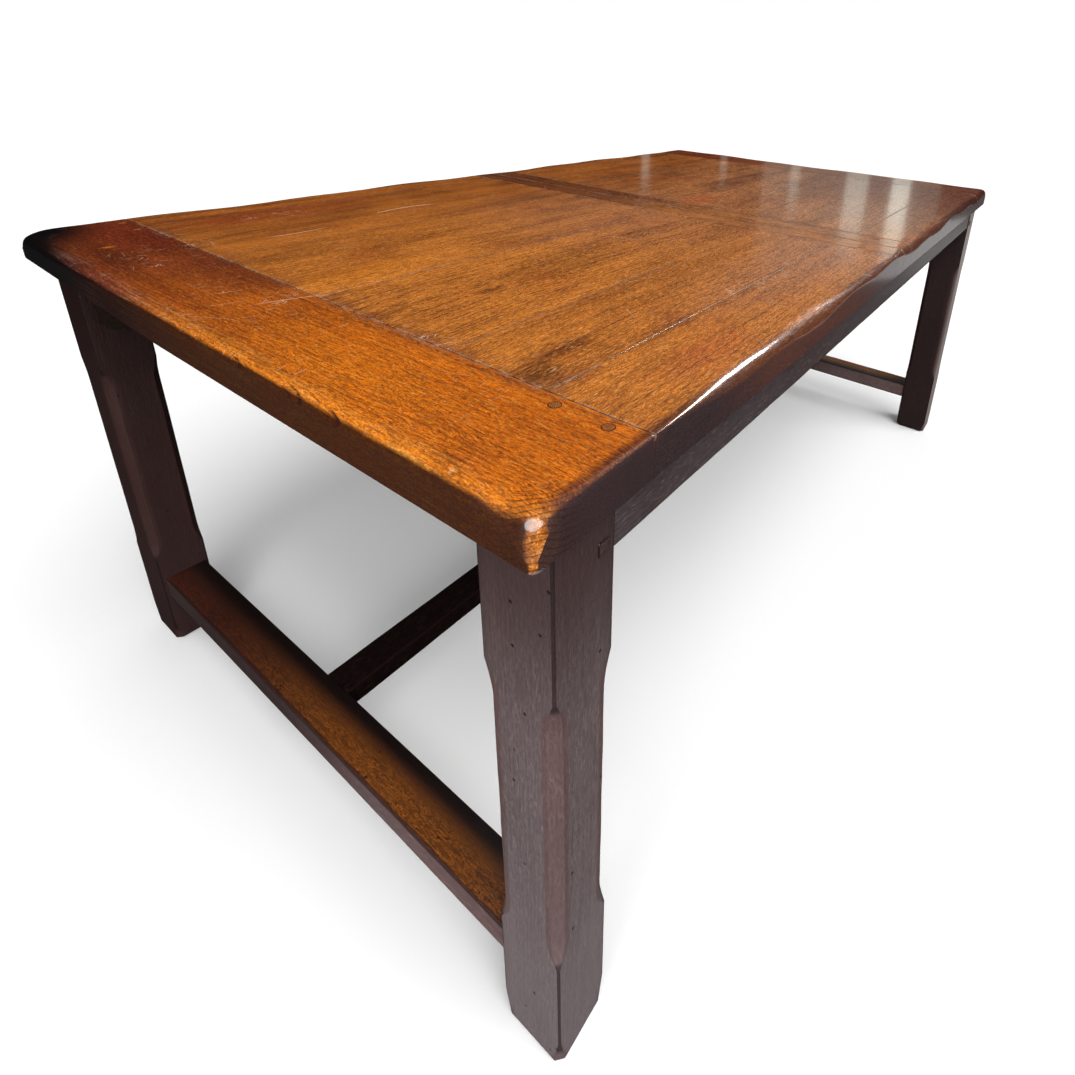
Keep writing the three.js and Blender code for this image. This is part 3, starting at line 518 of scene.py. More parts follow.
# %% [markdown]
# Three dowels of the far half slip into holes in the near cleat when the table closes. The holes are
# bored with a Boolean modifier, whose result is kept in the mesh so that nothing of the drill is left.

# %% Dowel holes in the near cleat
DOWEL_PLACES = (-310.0, 0.0, 310.0)
DOWEL_HOLE_RADIUS = 7.3
DRILLED = [-26, 5]


def round_rings(centre, axis, levels, radii, sides, wobble=0.0, seed=0):
    """Rings round an axis: at each level a circle of the given radius, with a slight seeded waviness."""
    angle = np.linspace(0, 2 * np.pi, sides, endpoint=False)
    swell = 1 + wobble * wander(angle, seed, 2.1)
    radii = np.asarray(radii, float)[:, None] * swell
    levels = np.broadcast_to(np.asarray(levels, float)[:, None], radii.shape)
    a, b = radii * np.cos(angle) + centre[0], radii * np.sin(angle) + centre[1]
    return np.stack([levels, a, b] if axis == "x" else [a, b, levels], axis=-1)


for place in DOWEL_PLACES:
    drill_rings = round_rings((place, UNDERSIDE + THICKNESS / 2), "x", DRILLED, [DOWEL_HOLE_RADIUS] * 2, 32)
    drill = bpy.data.objects.new("drill", closed_mesh("drill", drill_rings)[0])
    bpy.context.scene.collection.objects.link(drill)
    boring = near_cleat.modifiers.new("boring", "BOOLEAN")
    boring.operation = "DIFFERENCE"
    boring.object = drill
    boring.solver = "EXACT"
    shaped = near_cleat.evaluated_get(bpy.context.evaluated_depsgraph_get())
    bored = bpy.data.meshes.new_from_object(shaped)
    near_cleat.modifiers.clear()
    near_cleat.data = bored
    bpy.data.objects.remove(drill)
print("near cleat after boring:", len(near_cleat.data.vertices), "corners")

# %% [markdown]
# Pegs were driven through the breadboards and cleats to hold the boards' tongues. Oak shrinks around a
# peg over the years, so each stands a hair proud. They are round rods, a little out of true.

# %% Round pegs
PEG_RADIUS = 6.5
PEG_FLOOR = 734.0
BREADBOARD_PEG_X = 792
BREADBOARD_PEGS_Y = (-498, -439, 439, 498)
CLEAT_PEG_X = 42.3
CLEAT_PEGS_Y = (-469, 469)


def add_round_peg(name, x, y, body, seed):
    """A round peg from its floor to a hair above the worn surface, with a rounded lip."""
    levels = [PEG_FLOOR, HEIGHT - 0.5, HEIGHT - 0.15, HEIGHT, HEIGHT, HEIGHT]
    radii = PEG_RADIUS * np.array([1, 1, 1, 1, 0.72, 0.3]) - np.array([0, 0, 0.15, 0.6, 0, 0])
    rings = round_rings((x, y), "z", levels, radii, 28, 0.035, seed)
    lip = np.array([1, 1, 1, 0.55, 0, 0])[:, None]
    add_piece(name, rings, body, {"worn": lip, "plank": seed * 0.77}, "z")


for end, sign in ENDS:
    for number, y in enumerate(BREADBOARD_PEGS_Y, 1):
        name = f"{end}_breadboard_peg_{number}_worn"
        add_round_peg(name, sign * BREADBOARD_PEG_X, y, f"{end}_half", number + 10 * (sign > 0))
    for number, y in enumerate(CLEAT_PEGS_Y, 1):
        name = f"{end}_cleat_peg_{number}_worn"
        add_round_peg(name, sign * CLEAT_PEG_X, y, f"{end}_half", number + 30 + 10 * (sign > 0))
print("round pegs: 12")


# %% [markdown]
# Legs, rails and stretchers are squared bars. A ring of such a bar has four corners, each cut by a
# chamfer whose two edges are eased by a short curve, because no edge on an old table is sharp. The cut
# may change along the bar: this is how the legs' stopped chamfers are made.

# %% A squared bar with eased chamfers
TRAVEL = np.array([[1, 0], [0, 1], [-1, 0], [0, -1]], float)


def squared_bar(axis, along, a, b, cuts, ease, faces=4, dish=0.0, seed=0):
    """Rings of a bar along an axis. a and b are its two spans, cuts the chamfer at each of the corners
    (a high, b low), (high, high), (low, high), (low, low). An eased edge is a quadratic curve:
    a quarter of each outer point plus half of the corner itself. dish waves the flat faces."""
    count = len(along)
    a = [np.broadcast_to(np.asarray(v, float), (count,)) for v in a]
    b = [np.broadcast_to(np.asarray(v, float), (count,)) for v in b]
    corner = np.stack([
        np.stack([a[1], b[0]], -1), np.stack([a[1], b[1]], -1),
        np.stack([a[0], b[1]], -1), np.stack([a[0], b[0]], -1),
    ], axis=1)
    cut = np.broadcast_to(np.asarray(cuts, float), (count, 4))[..., None]
    soft = np.minimum(np.broadcast_to(np.asarray(ease, float), (count, 4))[..., None], cut * 0.65)
    arriving, leaving = TRAVEL, np.roll(TRAVEL, -1, axis=0)
    first, second = corner - cut * arriving, corner + cut * leaving
    slope = (arriving + leaving) / math.sqrt(2)

    def eased(point, before, after):
        entry, leave = point - soft * before, point + soft * after
        return [entry, (entry + 2 * point + leave) / 4, leave]

    turn = np.stack(eased(first, arriving, slope) + eased(second, slope, leaving), axis=2)
    following = np.roll(turn[:, :, 0], -1, axis=1)
    share = np.linspace(0, 1, faces + 2)[1:-1][None, None, :, None]
    flat = turn[:, :, -1][:, :, None] * (1 - share) + following[:, :, None] * share
    outward = np.stack([leaving[:, 1], -leaving[:, 0]], -1)[None, :, None]
    hollow = dish * (0.5 + 0.5 * wander(along, seed, 310))[:, None, None, None] * 4 * share * (1 - share)
    flat = flat - outward * hollow
    ring = np.concatenate([turn, flat], axis=2).reshape(count, -1, 2)
    s = np.broadcast_to(along[:, None], ring.shape[:2])
    spans = [ring[..., 0], ring[..., 1]]
    spans.insert("xyz".index(axis), s)
    rings = np.stack(spans, axis=-1)
    edge = np.concatenate([np.ones((4, 6)), np.zeros((4, faces))], axis=1).reshape(-1)
    big = np.concatenate([np.repeat(cut, 6, axis=2), np.zeros((count, 4, faces))], axis=2)
    marks = {"worn": np.broadcast_to(edge, ring.shape[:2]), "chamfer": big.reshape(count, -1) * MM}
    return rings, marks


# %% [markdown]
# A leg is 74 by 84 mm. Below the rail each arris opens into a chamfer by a short curve and closes again
# above the stretcher in a point. The feet are worn round by floors and brooms.

# %% Legs
CHAMFER_TOP = 560.5
CHAMFER_BOTTOM = 187.0
STOP = 40.0
EASE = 1.2
CHAMFER = 10.0
FOOT_CHAMFER = 8.0
FOOT_WORN_TO = 45.0
SOLE_ROUNDING = 4.0


def chamfer_cut(z):
    """Size of the chamfer at a height: a quarter sine wave below the upper stop, a square law above the
    lower one, full between them, and growing again over the worn foot."""
    upper = np.sin(np.clip((CHAMFER_TOP - z) / STOP, 0, 1) * np.pi / 2)
    lower = 1 - (1 - np.clip((z - CHAMFER_BOTTOM) / STOP, 0, 1)) ** 2
    between = EASE + (CHAMFER - EASE) * np.minimum(upper, lower)
    worn_share = (FOOT_WORN_TO - z) / (FOOT_WORN_TO - SOLE_ROUNDING)
    foot = EASE + (FOOT_CHAMFER - EASE) * np.clip(worn_share, 0, 1)
    return np.maximum(between, foot)


def add_leg(end, x_sign, hand, y_sign, seed):
    """One leg, from the floor to the underside of the top."""
    near_stops = np.concatenate([np.linspace(184, 230, 24), np.linspace(518, 563, 24)])
    z = np.concatenate([[0, 0.6, 1.6, 2.8, 4, 7], np.linspace(11, FRAME_TOP, 60), near_stops])
    z = np.unique(z.round(3))
    cut = chamfer_cut(z)[:, None] * (1 + 0.05 * np.stack([wander(z, seed + k, 120) for k in range(4)], -1))
    sole = SOLE_ROUNDING * np.clip(1 - z / SOLE_ROUNDING, 0, 1) ** 1.6
    x, y = on_side(x_sign, LEG_X), on_side(y_sign, LEG_Y)
    rings, marks = squared_bar(
        "z", z, (x[0] + sole, x[1] - sole), (y[0] + sole, y[1] - sole), cut, 1.0, 5, 0.35, seed)
    marks["plank"] = seed * 1.9
    add_piece(f"leg_{end}_{hand}_worn", rings, "frame", marks, "z")


for seed, corner in enumerate(FRAME_CORNERS, 41):
    add_leg(*corner, seed)
print("legs: 4, chamfer", CHAMFER, "mm")


# %% [markdown]
# Square pegs hold the rails' tenons in the legs. Their end grain stands proud of the leg by 1.5 mm.

# %% Square pegs
RAIL_PEG_X = 823
RAIL_PEG_Z = 682.06
HALF_RAIL_PEG = 7


def add_square_peg(end, x_sign, hand, y_sign, seed):
    """A 14 mm square peg, from inside the leg to just proud of its outer face."""
    depth = np.array([478, 516, 520.6, 521.2, 521.5])
    shrink = np.array([0, 0, 0, 0.25, 0.9])
    lean = 0.2 * wander(depth, seed, 60)
    half = HALF_RAIL_PEG - shrink
    x = (x_sign * RAIL_PEG_X - half + lean, x_sign * RAIL_PEG_X + half)
    z = (RAIL_PEG_Z - half, RAIL_PEG_Z + half - lean)
    rings, marks = squared_bar("y", y_sign * depth, x, z, 1.2, 0.6, 3)
    marks["worn"] = np.broadcast_to(np.array([1, 1, 1, 0.7, 0.0])[:, None], rings.shape[:2])
    marks["plank"] = seed * 0.9
    add_piece(f"rail_peg_{end}_{hand}_worn", rings, "frame", marks, "y")


for seed, corner in enumerate(FRAME_CORNERS, 61):
    add_square_peg(*corner, seed)
print("square pegs: 4")

# %% [markdown]
# The side rails carry the bearers. Only their outer lower edge has a small chamfer.

# %% Side rails
RAIL_Y = (490.0, 518.0)
RAIL_UNDERSIDE = 667.5
for seed, (hand, y_sign) in enumerate(HANDS, 71):
    x = np.linspace(-LEG_X[0], LEG_X[0], 130)
    y = on_side(y_sign, RAIL_Y)
    lower_outer = 2.5 + 0.4 * wander(x, seed, 210)
    plain = np.full_like(x, 1.0)
    cuts = [plain, plain, plain, lower_outer] if y_sign < 0 else [lower_outer, plain, plain, plain]
    z = (RAIL_UNDERSIDE, FRAME_TOP)
    rings, marks = squared_bar("x", x, y, z, np.stack(cuts, -1), 0.8, 4, 0.25, seed)
    marks["plank"] = seed * 0.61
    add_piece(f"side_rail_{hand}_worn", rings, "frame", marks)
print("side rails: 2")

# %% [markdown]
# Feet rest on the stretchers. The outer upper edge of each end stretcher is rubbed round along most of
# its length, more in the middle than near the legs.

# %% Stretchers
END_STRETCHER_X = (813.0, 875.0)
CENTRE_STRETCHER_Y = (-27.0, 27.0)
STRETCHER_TOP = 141.0
END_UNDERSIDE, CENTRE_UNDERSIDE = 100.0, 107.0
for seed, (end, x_sign) in enumerate(ENDS, 81):
    y = np.linspace(-LEG_Y[0], LEG_Y[0], 110)
    x = on_side(x_sign, END_STRETCHER_X)
    rubbed = 2.6 - 0.9 * (y / LEG_Y[0]) ** 4 + 0.7 * wander(y, seed, 130)
    plain = np.full_like(y, 2.0)
    cuts = [plain, rubbed, plain * 0.6, plain] if x_sign > 0 else [plain, plain * 0.6, rubbed, plain]
    ease = np.stack([c * 0.5 for c in cuts], -1)
    z = (END_UNDERSIDE, STRETCHER_TOP)
    rings, marks = squared_bar("y", y, x, z, np.stack(cuts, -1), ease, 6, 0.5, seed)
    marks["plank"] = seed * 0.53
    add_piece(f"{end}_end_stretcher_worn", rings, "frame", marks, "y")
x = np.linspace(-END_STRETCHER_X[0], END_STRETCHER_X[0], 120)
middle_cuts = np.stack([2.0 + 0.5 * wander(x, 83 + k, 160) for k in range(4)], -1)
z = (CENTRE_UNDERSIDE, STRETCHER_TOP)
rings, marks = squared_bar("x", x, CENTRE_STRETCHER_Y, z, middle_cuts, 1.0, 4, 0.3, 83)
marks["plank"] = 83 * 0.53
add_piece("centre_stretcher_worn", rings, "frame", marks)
print("stretchers: 3, pieces so far:", len(pieces_made))

# %% [markdown]
# Now the finishes. All the wood is oak, so one node group draws its figure and every finish uses it:
# growth rings are the distance from a pith line which wanders below the plank, pores are short dark
# dashes along the grain, and contour lines of a slow noise give the curved streaks of a flat face. A
# fine grit makes the tone differ from fibre to fibre. All of it follows the plank's own directions,
# kept in the attribute "grain".

# %% Short names for common nodes
def node(kind, inputs, **settings):
    """A node in the tree that its first linked input belongs to."""
    tree = next(v.id_data for v in inputs.values() if isinstance(v, bpy.types.NodeSocket))
    return add_node(tree, kind, inputs, **settings)


def calc(operation, *values, clamp=False):
    """One sum on numbers: a Math node."""
    return node("ShaderNodeMath", dict(enumerate(values)), operation=operation, use_clamp=clamp).outputs[0]


def times(*values):
    """The product of all values, two at a time."""
    return functools.reduce(lambda a, b: calc("MULTIPLY", a, b), values)


def plus(*values):
    """The sum of all values, two at a time."""
    return functools.reduce(lambda a, b: calc("ADD", a, b), values)


def largest(*values):
    """The largest of all values, two at a time."""
    return functools.reduce(lambda a, b: calc("MAXIMUM", a, b), values)


def minus(value, less):
    """value less another one."""
    return calc("SUBTRACT", value, less)


def step(value, low, high, start=0.0, stop=1.0):
    """A smooth step up, or from start, at or below low, to stop, at or above high."""
    inputs = {"Value": value, "From Min": low, "From Max": high, "To Min": start, "To Max": stop}
    return node("ShaderNodeMapRange", inputs, interpolation_type="SMOOTHSTEP").outputs[0]


def fall(value, low, high):
    """A smooth step down, from 1 at or below low to 0 at or above high."""
    return step(value, low, high, 1.0, 0.0)


def vector_calc(operation, *values, out=0):
    """One sum on vectors. LENGTH and DISTANCE give a number, in the output called Value."""
    return node("ShaderNodeVectorMath", dict(enumerate(values)), operation=operation).outputs[out]


def stretch(place, factors):
    """A place with each direction multiplied by its own factor."""
    return vector_calc("MULTIPLY", place, factors)


def scaled(place, factor):
    """A place multiplied by one number."""
    return node("ShaderNodeVectorMath", {0: place, "Scale": factor}, operation="SCALE").outputs[0]


def parts(place):
    """The x, y and z of a vector."""
    return node("ShaderNodeSeparateXYZ", {0: place}).outputs


def cloud(place, scale, detail=2.0, roughness=0.5):
    """Soft noise between 0 and 1, its features about one over scale in size, in each direction if scale
    has three numbers."""
    if isinstance(scale, tuple):
        place, scale = stretch(place, scale), 1.0
    inputs = {"Vector": place, "Scale": scale, "Detail": detail, "Roughness": roughness}
    return node("ShaderNodeTexNoise", inputs).outputs[0]


def blend(share, under, over, kind="MIX"):
    """over laid on under by share."""
    settings = {"data_type": "RGBA", "blend_type": kind, "clamp_factor": True}
    return node("ShaderNodeMix", {0: share, 6: under, 7: over}, **settings).outputs[2]


def mark(tree, name):
    """A number that the piece's mesh carries at each corner."""
    return add_node(tree, "ShaderNodeAttribute", attribute_name=name).outputs["Fac"]


def colour(red, green, blue):
    """A picture colour, 0 to 255 a channel, as the linear light that the shader wants."""
    c = np.array([red, green, blue]) / 255
    linear = np.where(c <= 0.04045, c / 12.92, ((c + 0.055) / 1.055) ** 2.4)
    return (*map(float, linear), 1.0)


def grey(level):
    """An even tone to multiply a colour by."""
    return (level, level, level, 1.0)


def coats(tint, layers):
    """Lays tones over a colour, one after another. Each has a mask, a share of it, and a picture colour."""
    for mask, share, tone in layers:
        tint = blend(mask if share == 1 else times(mask, share), tint, colour(*tone))
    return tint


def new_group(name, inputs):
    """An empty shader node group, and what comes into it: a number where inputs gives a start value, a
    vector where it gives None."""
    group = bpy.data.node_groups.new(name, "ShaderNodeTree")
    for label, value in inputs.items():
        kind = "NodeSocketVector" if value is None else "NodeSocketFloat"
        socket = group.interface.new_socket(name=label, in_out="INPUT", socket_type=kind)
        if value is not None:
            socket.default_value = value
    return group, group.nodes.new("NodeGroupInput").outputs


def close_group(group, results):
    """Gives a group its results, all of them numbers."""
    for label in results:
        group.interface.new_socket(name=label, in_out="OUTPUT", socket_type="NodeSocketFloat")
    end = group.nodes.new("NodeGroupOutput").inputs
    for label, value in results.items():
        group.links.new(value, end[label])
    print(f"{group.name}: {len(group.nodes)} nodes, gives {', '.join(results)}")


def place_group(group, inputs):
    """A group placed in the tree of its inputs."""
    return node("ShaderNodeGroup", inputs, node_tree=group).outputs


# %% Oak figure
OAK_INPUTS = {"Grain": None, "Plank": 0.0, "Ring Width": 0.005, "Fineness": 1.0, "Coarse": 0.0}
oak, given = new_group("oak_figure", OAK_INPUTS)
chance = node("ShaderNodeTexWhiteNoise", {"W": given["Plank"]}, noise_dimensions="1D").outputs["Color"]
luck = node("ShaderNodeSeparateColor", {0: chance}).outputs
own_place = vector_calc("ADD", given["Grain"], scaled(chance, 9.0))
slow_place = stretch(own_place, (16.0, 50.0, 50.0))
waves = node("ShaderNodeTexNoise", {"Vector": slow_place, "Scale": 1.0, "Detail": 1.5}).outputs["Color"]
wavy = vector_calc("MULTIPLY_ADD", waves, (0.0, 0.008, 0.008), own_place)
fine_place = scaled(wavy, given["Fineness"])

# Rings: early wood is where a new ring starts, and fades within it
x, y, z = parts(given["Grain"])
slow_x = node("ShaderNodeCombineXYZ", {0: times(x, 1.1), 1: given["Plank"]}).outputs[0]
sway = times(minus(cloud(slow_x, 1.0, 1.5), 0.5), 0.11)
from_pith_y = minus(y, plus(times(minus(luck[0], 0.5), 0.16), sway))
from_pith_z = minus(z, minus(times(luck[1], -0.10), 0.05))
from_pith = calc("SQRT", plus(times(from_pith_y, from_pith_y), times(from_pith_z, from_pith_z)))
ragged = times(minus(cloud(own_place, (9.0, 90.0, 90.0)), 0.5), 1.2)
ring_count = plus(calc("DIVIDE", from_pith, given["Ring Width"]), ragged)
within_ring = calc("FRACT", ring_count)
ring_start = largest(fall(within_ring, 0.0, 0.55), step(within_ring, 0.9, 1.0))
year = node("ShaderNodeTexWhiteNoise", {"W": calc("FLOOR", ring_count)}, noise_dimensions="1D").outputs[0]
early = times(ring_start, plus(times(year, 0.6), 0.4))

# Dashes: short and long pores, more of them in early wood, and contour lines
short_dashes = step(cloud(fine_place, (130.0, 560.0, 560.0), 1.0), 0.48, 0.60)
long_dashes = step(cloud(fine_place, (34.0, 300.0, 300.0)), 0.50, 0.66)
pores = times(largest(times(short_dashes, 0.95), long_dashes), plus(times(early, 0.4), 0.6))
slope_field = cloud(fine_place, (9.0, 62.0, 62.0), 3.0, 0.55)
contour = fall(calc("FRACT", times(slope_field, 22.0)), 0.0, 0.42)
contour = times(contour, step(cloud(own_place, 24.0), 0.36, 0.60, 0.45, 1.0))
dashes = largest(pores, contour)

# Pale flecks, slow changes of tone along the grain, and grit
flecks = step(cloud(fine_place, (95.0, 520.0, 470.0), 1.0), 0.54, 0.70)
drift = cloud(wavy, (2.6, 24.0, 24.0), 3.0, 0.6)
fine_grit = cloud(own_place, (420.0, 760.0, 760.0), 1.0)
coarse_grit = cloud(own_place, (60.0, 170.0, 170.0), 1.0)
grit = node("ShaderNodeMix", {0: given["Coarse"], 2: fine_grit, 3: coarse_grit}).outputs[0]
relief = plus(minus(times(flecks, 0.2), plus(dashes, times(early, 0.2))), times(grit, 0.5))
close_group(oak, {
    "Early Wood": early, "Dashes": dashes, "Flecks": flecks, "Drift": drift, "Grit": grit, "Relief": relief})

# %% [markdown]
# A table top that has been used for years is full of short pale scratches. Each layer of them is a field
# of cells, many times longer than wide and turned to its own direction: a scratch lies in the middle of
# a cell, and only a share of the cells has one.

# %% One layer of scratches
NICK_INPUTS = {"Place": None, "Turn": 0.0, "Length": 0.12, "Width": 0.009, "Share": 0.1}
nicks, given = new_group("nicks", NICK_INPUTS)
bend = node("ShaderNodeTexNoise", {"Vector": given["Place"], "Scale": 9.0, "Detail": 1.0}).outputs["Color"]
bent = vector_calc("MULTIPLY_ADD", bend, (0.03, 0.03, 0.0), given["Place"])
turned_inputs = {"Vector": bent, "Angle": given["Turn"]}
turned_place = node("ShaderNodeVectorRotate", turned_inputs, rotation_type="Z_AXIS").outputs[0]
cell_size = node("ShaderNodeCombineXYZ", {0: given["Length"], 1: given["Width"], 2: 1.0}).outputs[0]
cell_inputs = {"Vector": vector_calc("DIVIDE", turned_place, cell_size), "Scale": 1.0}
cells = node("ShaderNodeTexVoronoi", cell_inputs, voronoi_dimensions="2D").outputs
cell_luck = node("ShaderNodeSeparateColor", {0: cells["Color"]}).outputs
chosen = calc("LESS_THAN", cell_luck[0], given["Share"])
near_middle = calc("LESS_THAN", cells["Distance"], plus(times(cell_luck[1], 0.12), 0.04))
faint = plus(times(cell_luck[2], 0.7), 0.3)
close_group(nicks, {"Nick": times(chosen, near_middle, faint)})


# %% A soft spot at a place
def spot(place, centre, size, softness=0.6):
    """A mask that is 1 at a centre and fades to 0 at an ellipse of the given half sizes, in metres."""
    flat = stretch(vector_calc("SUBTRACT", place, (*centre, 0.0)), (1 / size[0], 1 / size[1], 0.0))
    return fall(vector_calc("LENGTH", flat, out="Value"), 1 - softness, 1.0)


# %% [markdown]
# All the scratches of the top are one group, because the boards, the breadboard ends and the cleats
# share them: layers of short ones everywhere, more of them in scuffed places and over the far half, and
# a few long curved ones, each a part of a circle.

# %% Old scratches
# turn, length and width of a cell in metres, share of the cells that have a scratch
SCRATCH_LAYERS = [
    (0.35, 0.16, 0.0040, 0.03), (2.2, 0.12, 0.0036, 0.03), (1.2, 0.30, 0.0040, 0.012),
    (2.9, 0.05, 0.0036, 0.06), (0.1, 0.04, 0.0036, 0.07),
]
SCUFF_LAYERS = [(0.8, 0.050, 0.0032, 0.30), (2.4, 0.035, 0.0034, 0.30), (1.75, 0.090, 0.0046, 0.20)]
# centre and half sizes
SCRATCHED_PLACES = [
    ((-0.800, -0.020), (0.060, 0.060)), ((-0.770, 0.300), (0.035, 0.120)), ((-0.840, 0.060), (0.040, 0.060)),
    ((-0.360, -0.420), (0.260, 0.040)), ((-0.765, -0.250), (0.025, 0.090)), ((-0.600, 0.400), (0.120, 0.050)),
    ((-0.850, 0.250), (0.040, 0.100)),
]
# centre and radius of the circle, then the middle, the half sizes and the width of the part that shows
LONG_SCRATCHES = [
    ((-0.408, 0.136), 0.180, (-0.406, 0.312), (0.075, 0.030), 0.0024),
    ((-0.640, 0.520), 0.260, (-0.640, 0.262), (0.055, 0.030), 0.0014),
    ((-0.900, -0.300), 0.290, (-0.800, -0.030), (0.050, 0.030), 0.0010),
]
scratches, given = new_group("old_scratches", {"Place": None})
place = given["Place"]
far_along = parts(place)[0]


def nick_layers(layers):
    """One nick mask for each layer of a table."""
    names = ("Turn", "Length", "Width", "Share")
    return [place_group(nicks, {"Place": place, **dict(zip(names, layer))})["Nick"] for layer in layers]


def long_scratch(centre, radius, middle, reach, width):
    """A thin line along a circle, kept only near its middle."""
    from_centre = vector_calc("DISTANCE", stretch(place, (1.0, 1.0, 0.0)), (*centre, 0.0), out="Value")
    off_line = calc("ABSOLUTE", minus(from_centre, radius))
    return times(fall(off_line, width * 0.4, width), spot(place, middle, reach, 0.5))


often = times(step(cloud(place, 5.0), 0.40, 0.62, 0.15, 1.0), step(far_along, -0.6, 0.2, 0.7, 1.1))
scuffed = largest(*[spot(place, centre, size, 0.9) for centre, size in SCRATCHED_PLACES])
scuffed = largest(times(scuffed, 1.5), step(far_along, -0.1, 0.3, 0.0, 0.30))
scratch = largest(*nick_layers(SCRATCH_LAYERS))
scratch = largest(*[times(layer, scuffed) for layer in nick_layers(SCUFF_LAYERS)], scratch)
scratch = times(scratch, largest(often, scuffed))
long_ones = largest(*[long_scratch(*numbers) for numbers in LONG_SCRATCHES])
close_group(scratches, {"Scratch": largest(scratch, times(long_ones, 0.9))})

# %% [markdown]
# The same joint between two planks looks like a thin dark line with a pale, rubbed border, because wax
# and dirt settle in the V while its lips are worn through. The mesh carries the distance to the joint.

# %% Joint dirt and rubbed lips
joint_wear, given = new_group("joint_wear", {"Distance": 1.0, "Place": None})
to_joint = given["Distance"]
patchy, broken, scratchy = [cloud(given["Place"], *s) for s in ((16.0, 3.0), (90.0, 3.0), (420.0, 2.0))]
dirt = times(fall(to_joint, 0.0004, 0.0013), step(broken, 0.36, 0.56, 0.35, 1.0))
line = times(fall(to_joint, 0.0006, 0.0024), step(broken, 0.34, 0.72))
lip = times(fall(to_joint, 0.0012, 0.0120), step(patchy, 0.50, 0.70), step(scratchy, 0.50, 0.62))
stain = times(fall(to_joint, 0.002, 0.022), step(patchy, 0.35, 0.65))
close_group(joint_wear, {"Dirt": dirt, "Rubbed": largest(line, lip), "Stain": stain})

# %% [markdown]
# Edges that hands touch lose their stain and go paler. The mesh carries a mark that is 1 on an edge, and
# noise breaks it up, so that the wear comes and goes as it does on real furniture.

# %% Edge wear
edge_wear, given = new_group("edge_wear", {"Edge": 0.0, "Place": None, "Amount": 0.5})
uneven = plus(times(cloud(given["Place"], 7.0, 3.0), 0.65), times(cloud(given["Place"], 120.0, 3.0), 0.35))
worn_through = step(plus(uneven, times(given["Edge"], given["Amount"])), 0.55, 0.95)
close_group(edge_wear, {"Bare": times(worn_through, given["Edge"])})

# %% [markdown]
# The top's finish follows the table, not the plank: honey brown at the near end, plum brown at the far end,
# dark towards the left, and the paler near end and darker far end and left are partly painted light and
# shade. One group says how far and how far left a place is, with a wandering border. Another tells the
# top's faces apart by their direction.

# %% Where on the table
washes, given = new_group("washes", {"Place": None, "Left From": -0.15, "Left To": 0.45})
px, py, pz = parts(given["Place"])
broad = cloud(given["Place"], (1.6, 3.2, 1.0), 3.0)
wobble = times(minus(broad, 0.5), 0.5)
close_group(washes, {
    "Far": step(plus(px, wobble), -0.62, 0.42),
    "Left": step(plus(py, wobble), given["Left From"], given["Left To"]),
    "Broad": broad,
    "Blotch": cloud(given["Place"], (6.0, 12.0, 1.0), 3.0, 0.6),
    "Red": step(cloud(given["Place"], 8.0), 0.56, 0.74, 0.0, 0.30),
})

# %% Which face of the top
faces, given = new_group("top_faces", {"Place": None, "Normal": None, "Rim": 1.0})
px, py, pz = parts(given["Place"])
side_x, side_y, upright = parts(given["Normal"])
off_x, off_y = calc("ABSOLUTE", px), calc("ABSOLUTE", py)
steep = fall(upright, 0.50, 0.80)
towards_side = {0: step(px, -0.80, -0.45), 2: steep, 3: fall(upright, 0.05, 0.30)}
facing_side = node("ShaderNodeMix", towards_side).outputs[0]
close_group(faces, {
    "Side": fall(upright, 0.10, 0.52),
    "Steep": steep,
    "End Side": times(steep, fall(calc("ABSOLUTE", side_y), 0.30, 0.55)),
    "Long Side": times(facing_side, fall(calc("ABSOLUTE", side_x), 0.30, 0.55)),
    "Long Rim": times(fall(given["Rim"], 0.005, 0.016), step(off_y, 0.50, 0.52)),
    "End Rim": times(fall(given["Rim"], 0.004, 0.03), step(off_x, 0.88, 0.90)),
    "Lower Edge": times(step(upright, -0.95, -0.60), fall(upright, -0.45, -0.15)),
    "Under": fall(upright, -0.9, -0.4),
    "Flat": step(upright, 0.4, 0.8),
})


# %% Start and end of a material
def start_material(name, roughness, coat, coat_roughness, sheen=0.5):
    """A new wood material: its tree, its shader, and the Object coordinates. sheen is what the wood
    itself mirrors below the coat."""
    paint = bpy.data.materials.new(name)
    paint.use_nodes = True
    tree = paint.node_tree
    shader = tree.nodes["Principled BSDF"]
    settings = {
        "Roughness": roughness, "Coat Weight": coat, "Coat Roughness": coat_roughness,
        "Coat IOR": 1.5, "Specular IOR Level": sheen,
    }
    for label, value in settings.items():
        shader.inputs[label].default_value = value
    place = add_node(tree, "ShaderNodeTexCoord").outputs["Object"]
    return paint, tree, shader, place


def oak_wood(tree, ring_width, **more):
    """The oak figure in a material, along the piece's own grain. The width of a ring is in metres."""
    grain = add_node(tree, "ShaderNodeAttribute", attribute_name="grain").outputs["Vector"]
    return place_group(oak, {"Grain": grain, "Plank": mark(tree, "plank"), "Ring Width": ring_width, **more})


def finish_material(tree, shader, tint, roughness, relief, depth):
    """Colour, roughness and bump into the shader."""
    tree.links.new(tint, shader.inputs["Base Color"])
    tree.links.new(roughness, shader.inputs["Roughness"])
    bump = add_node(tree, "ShaderNodeBump", {"Height": relief, "Strength": 0.6, "Distance": depth})
    tree.links.new(bump.outputs[0], shader.inputs["Normal"])
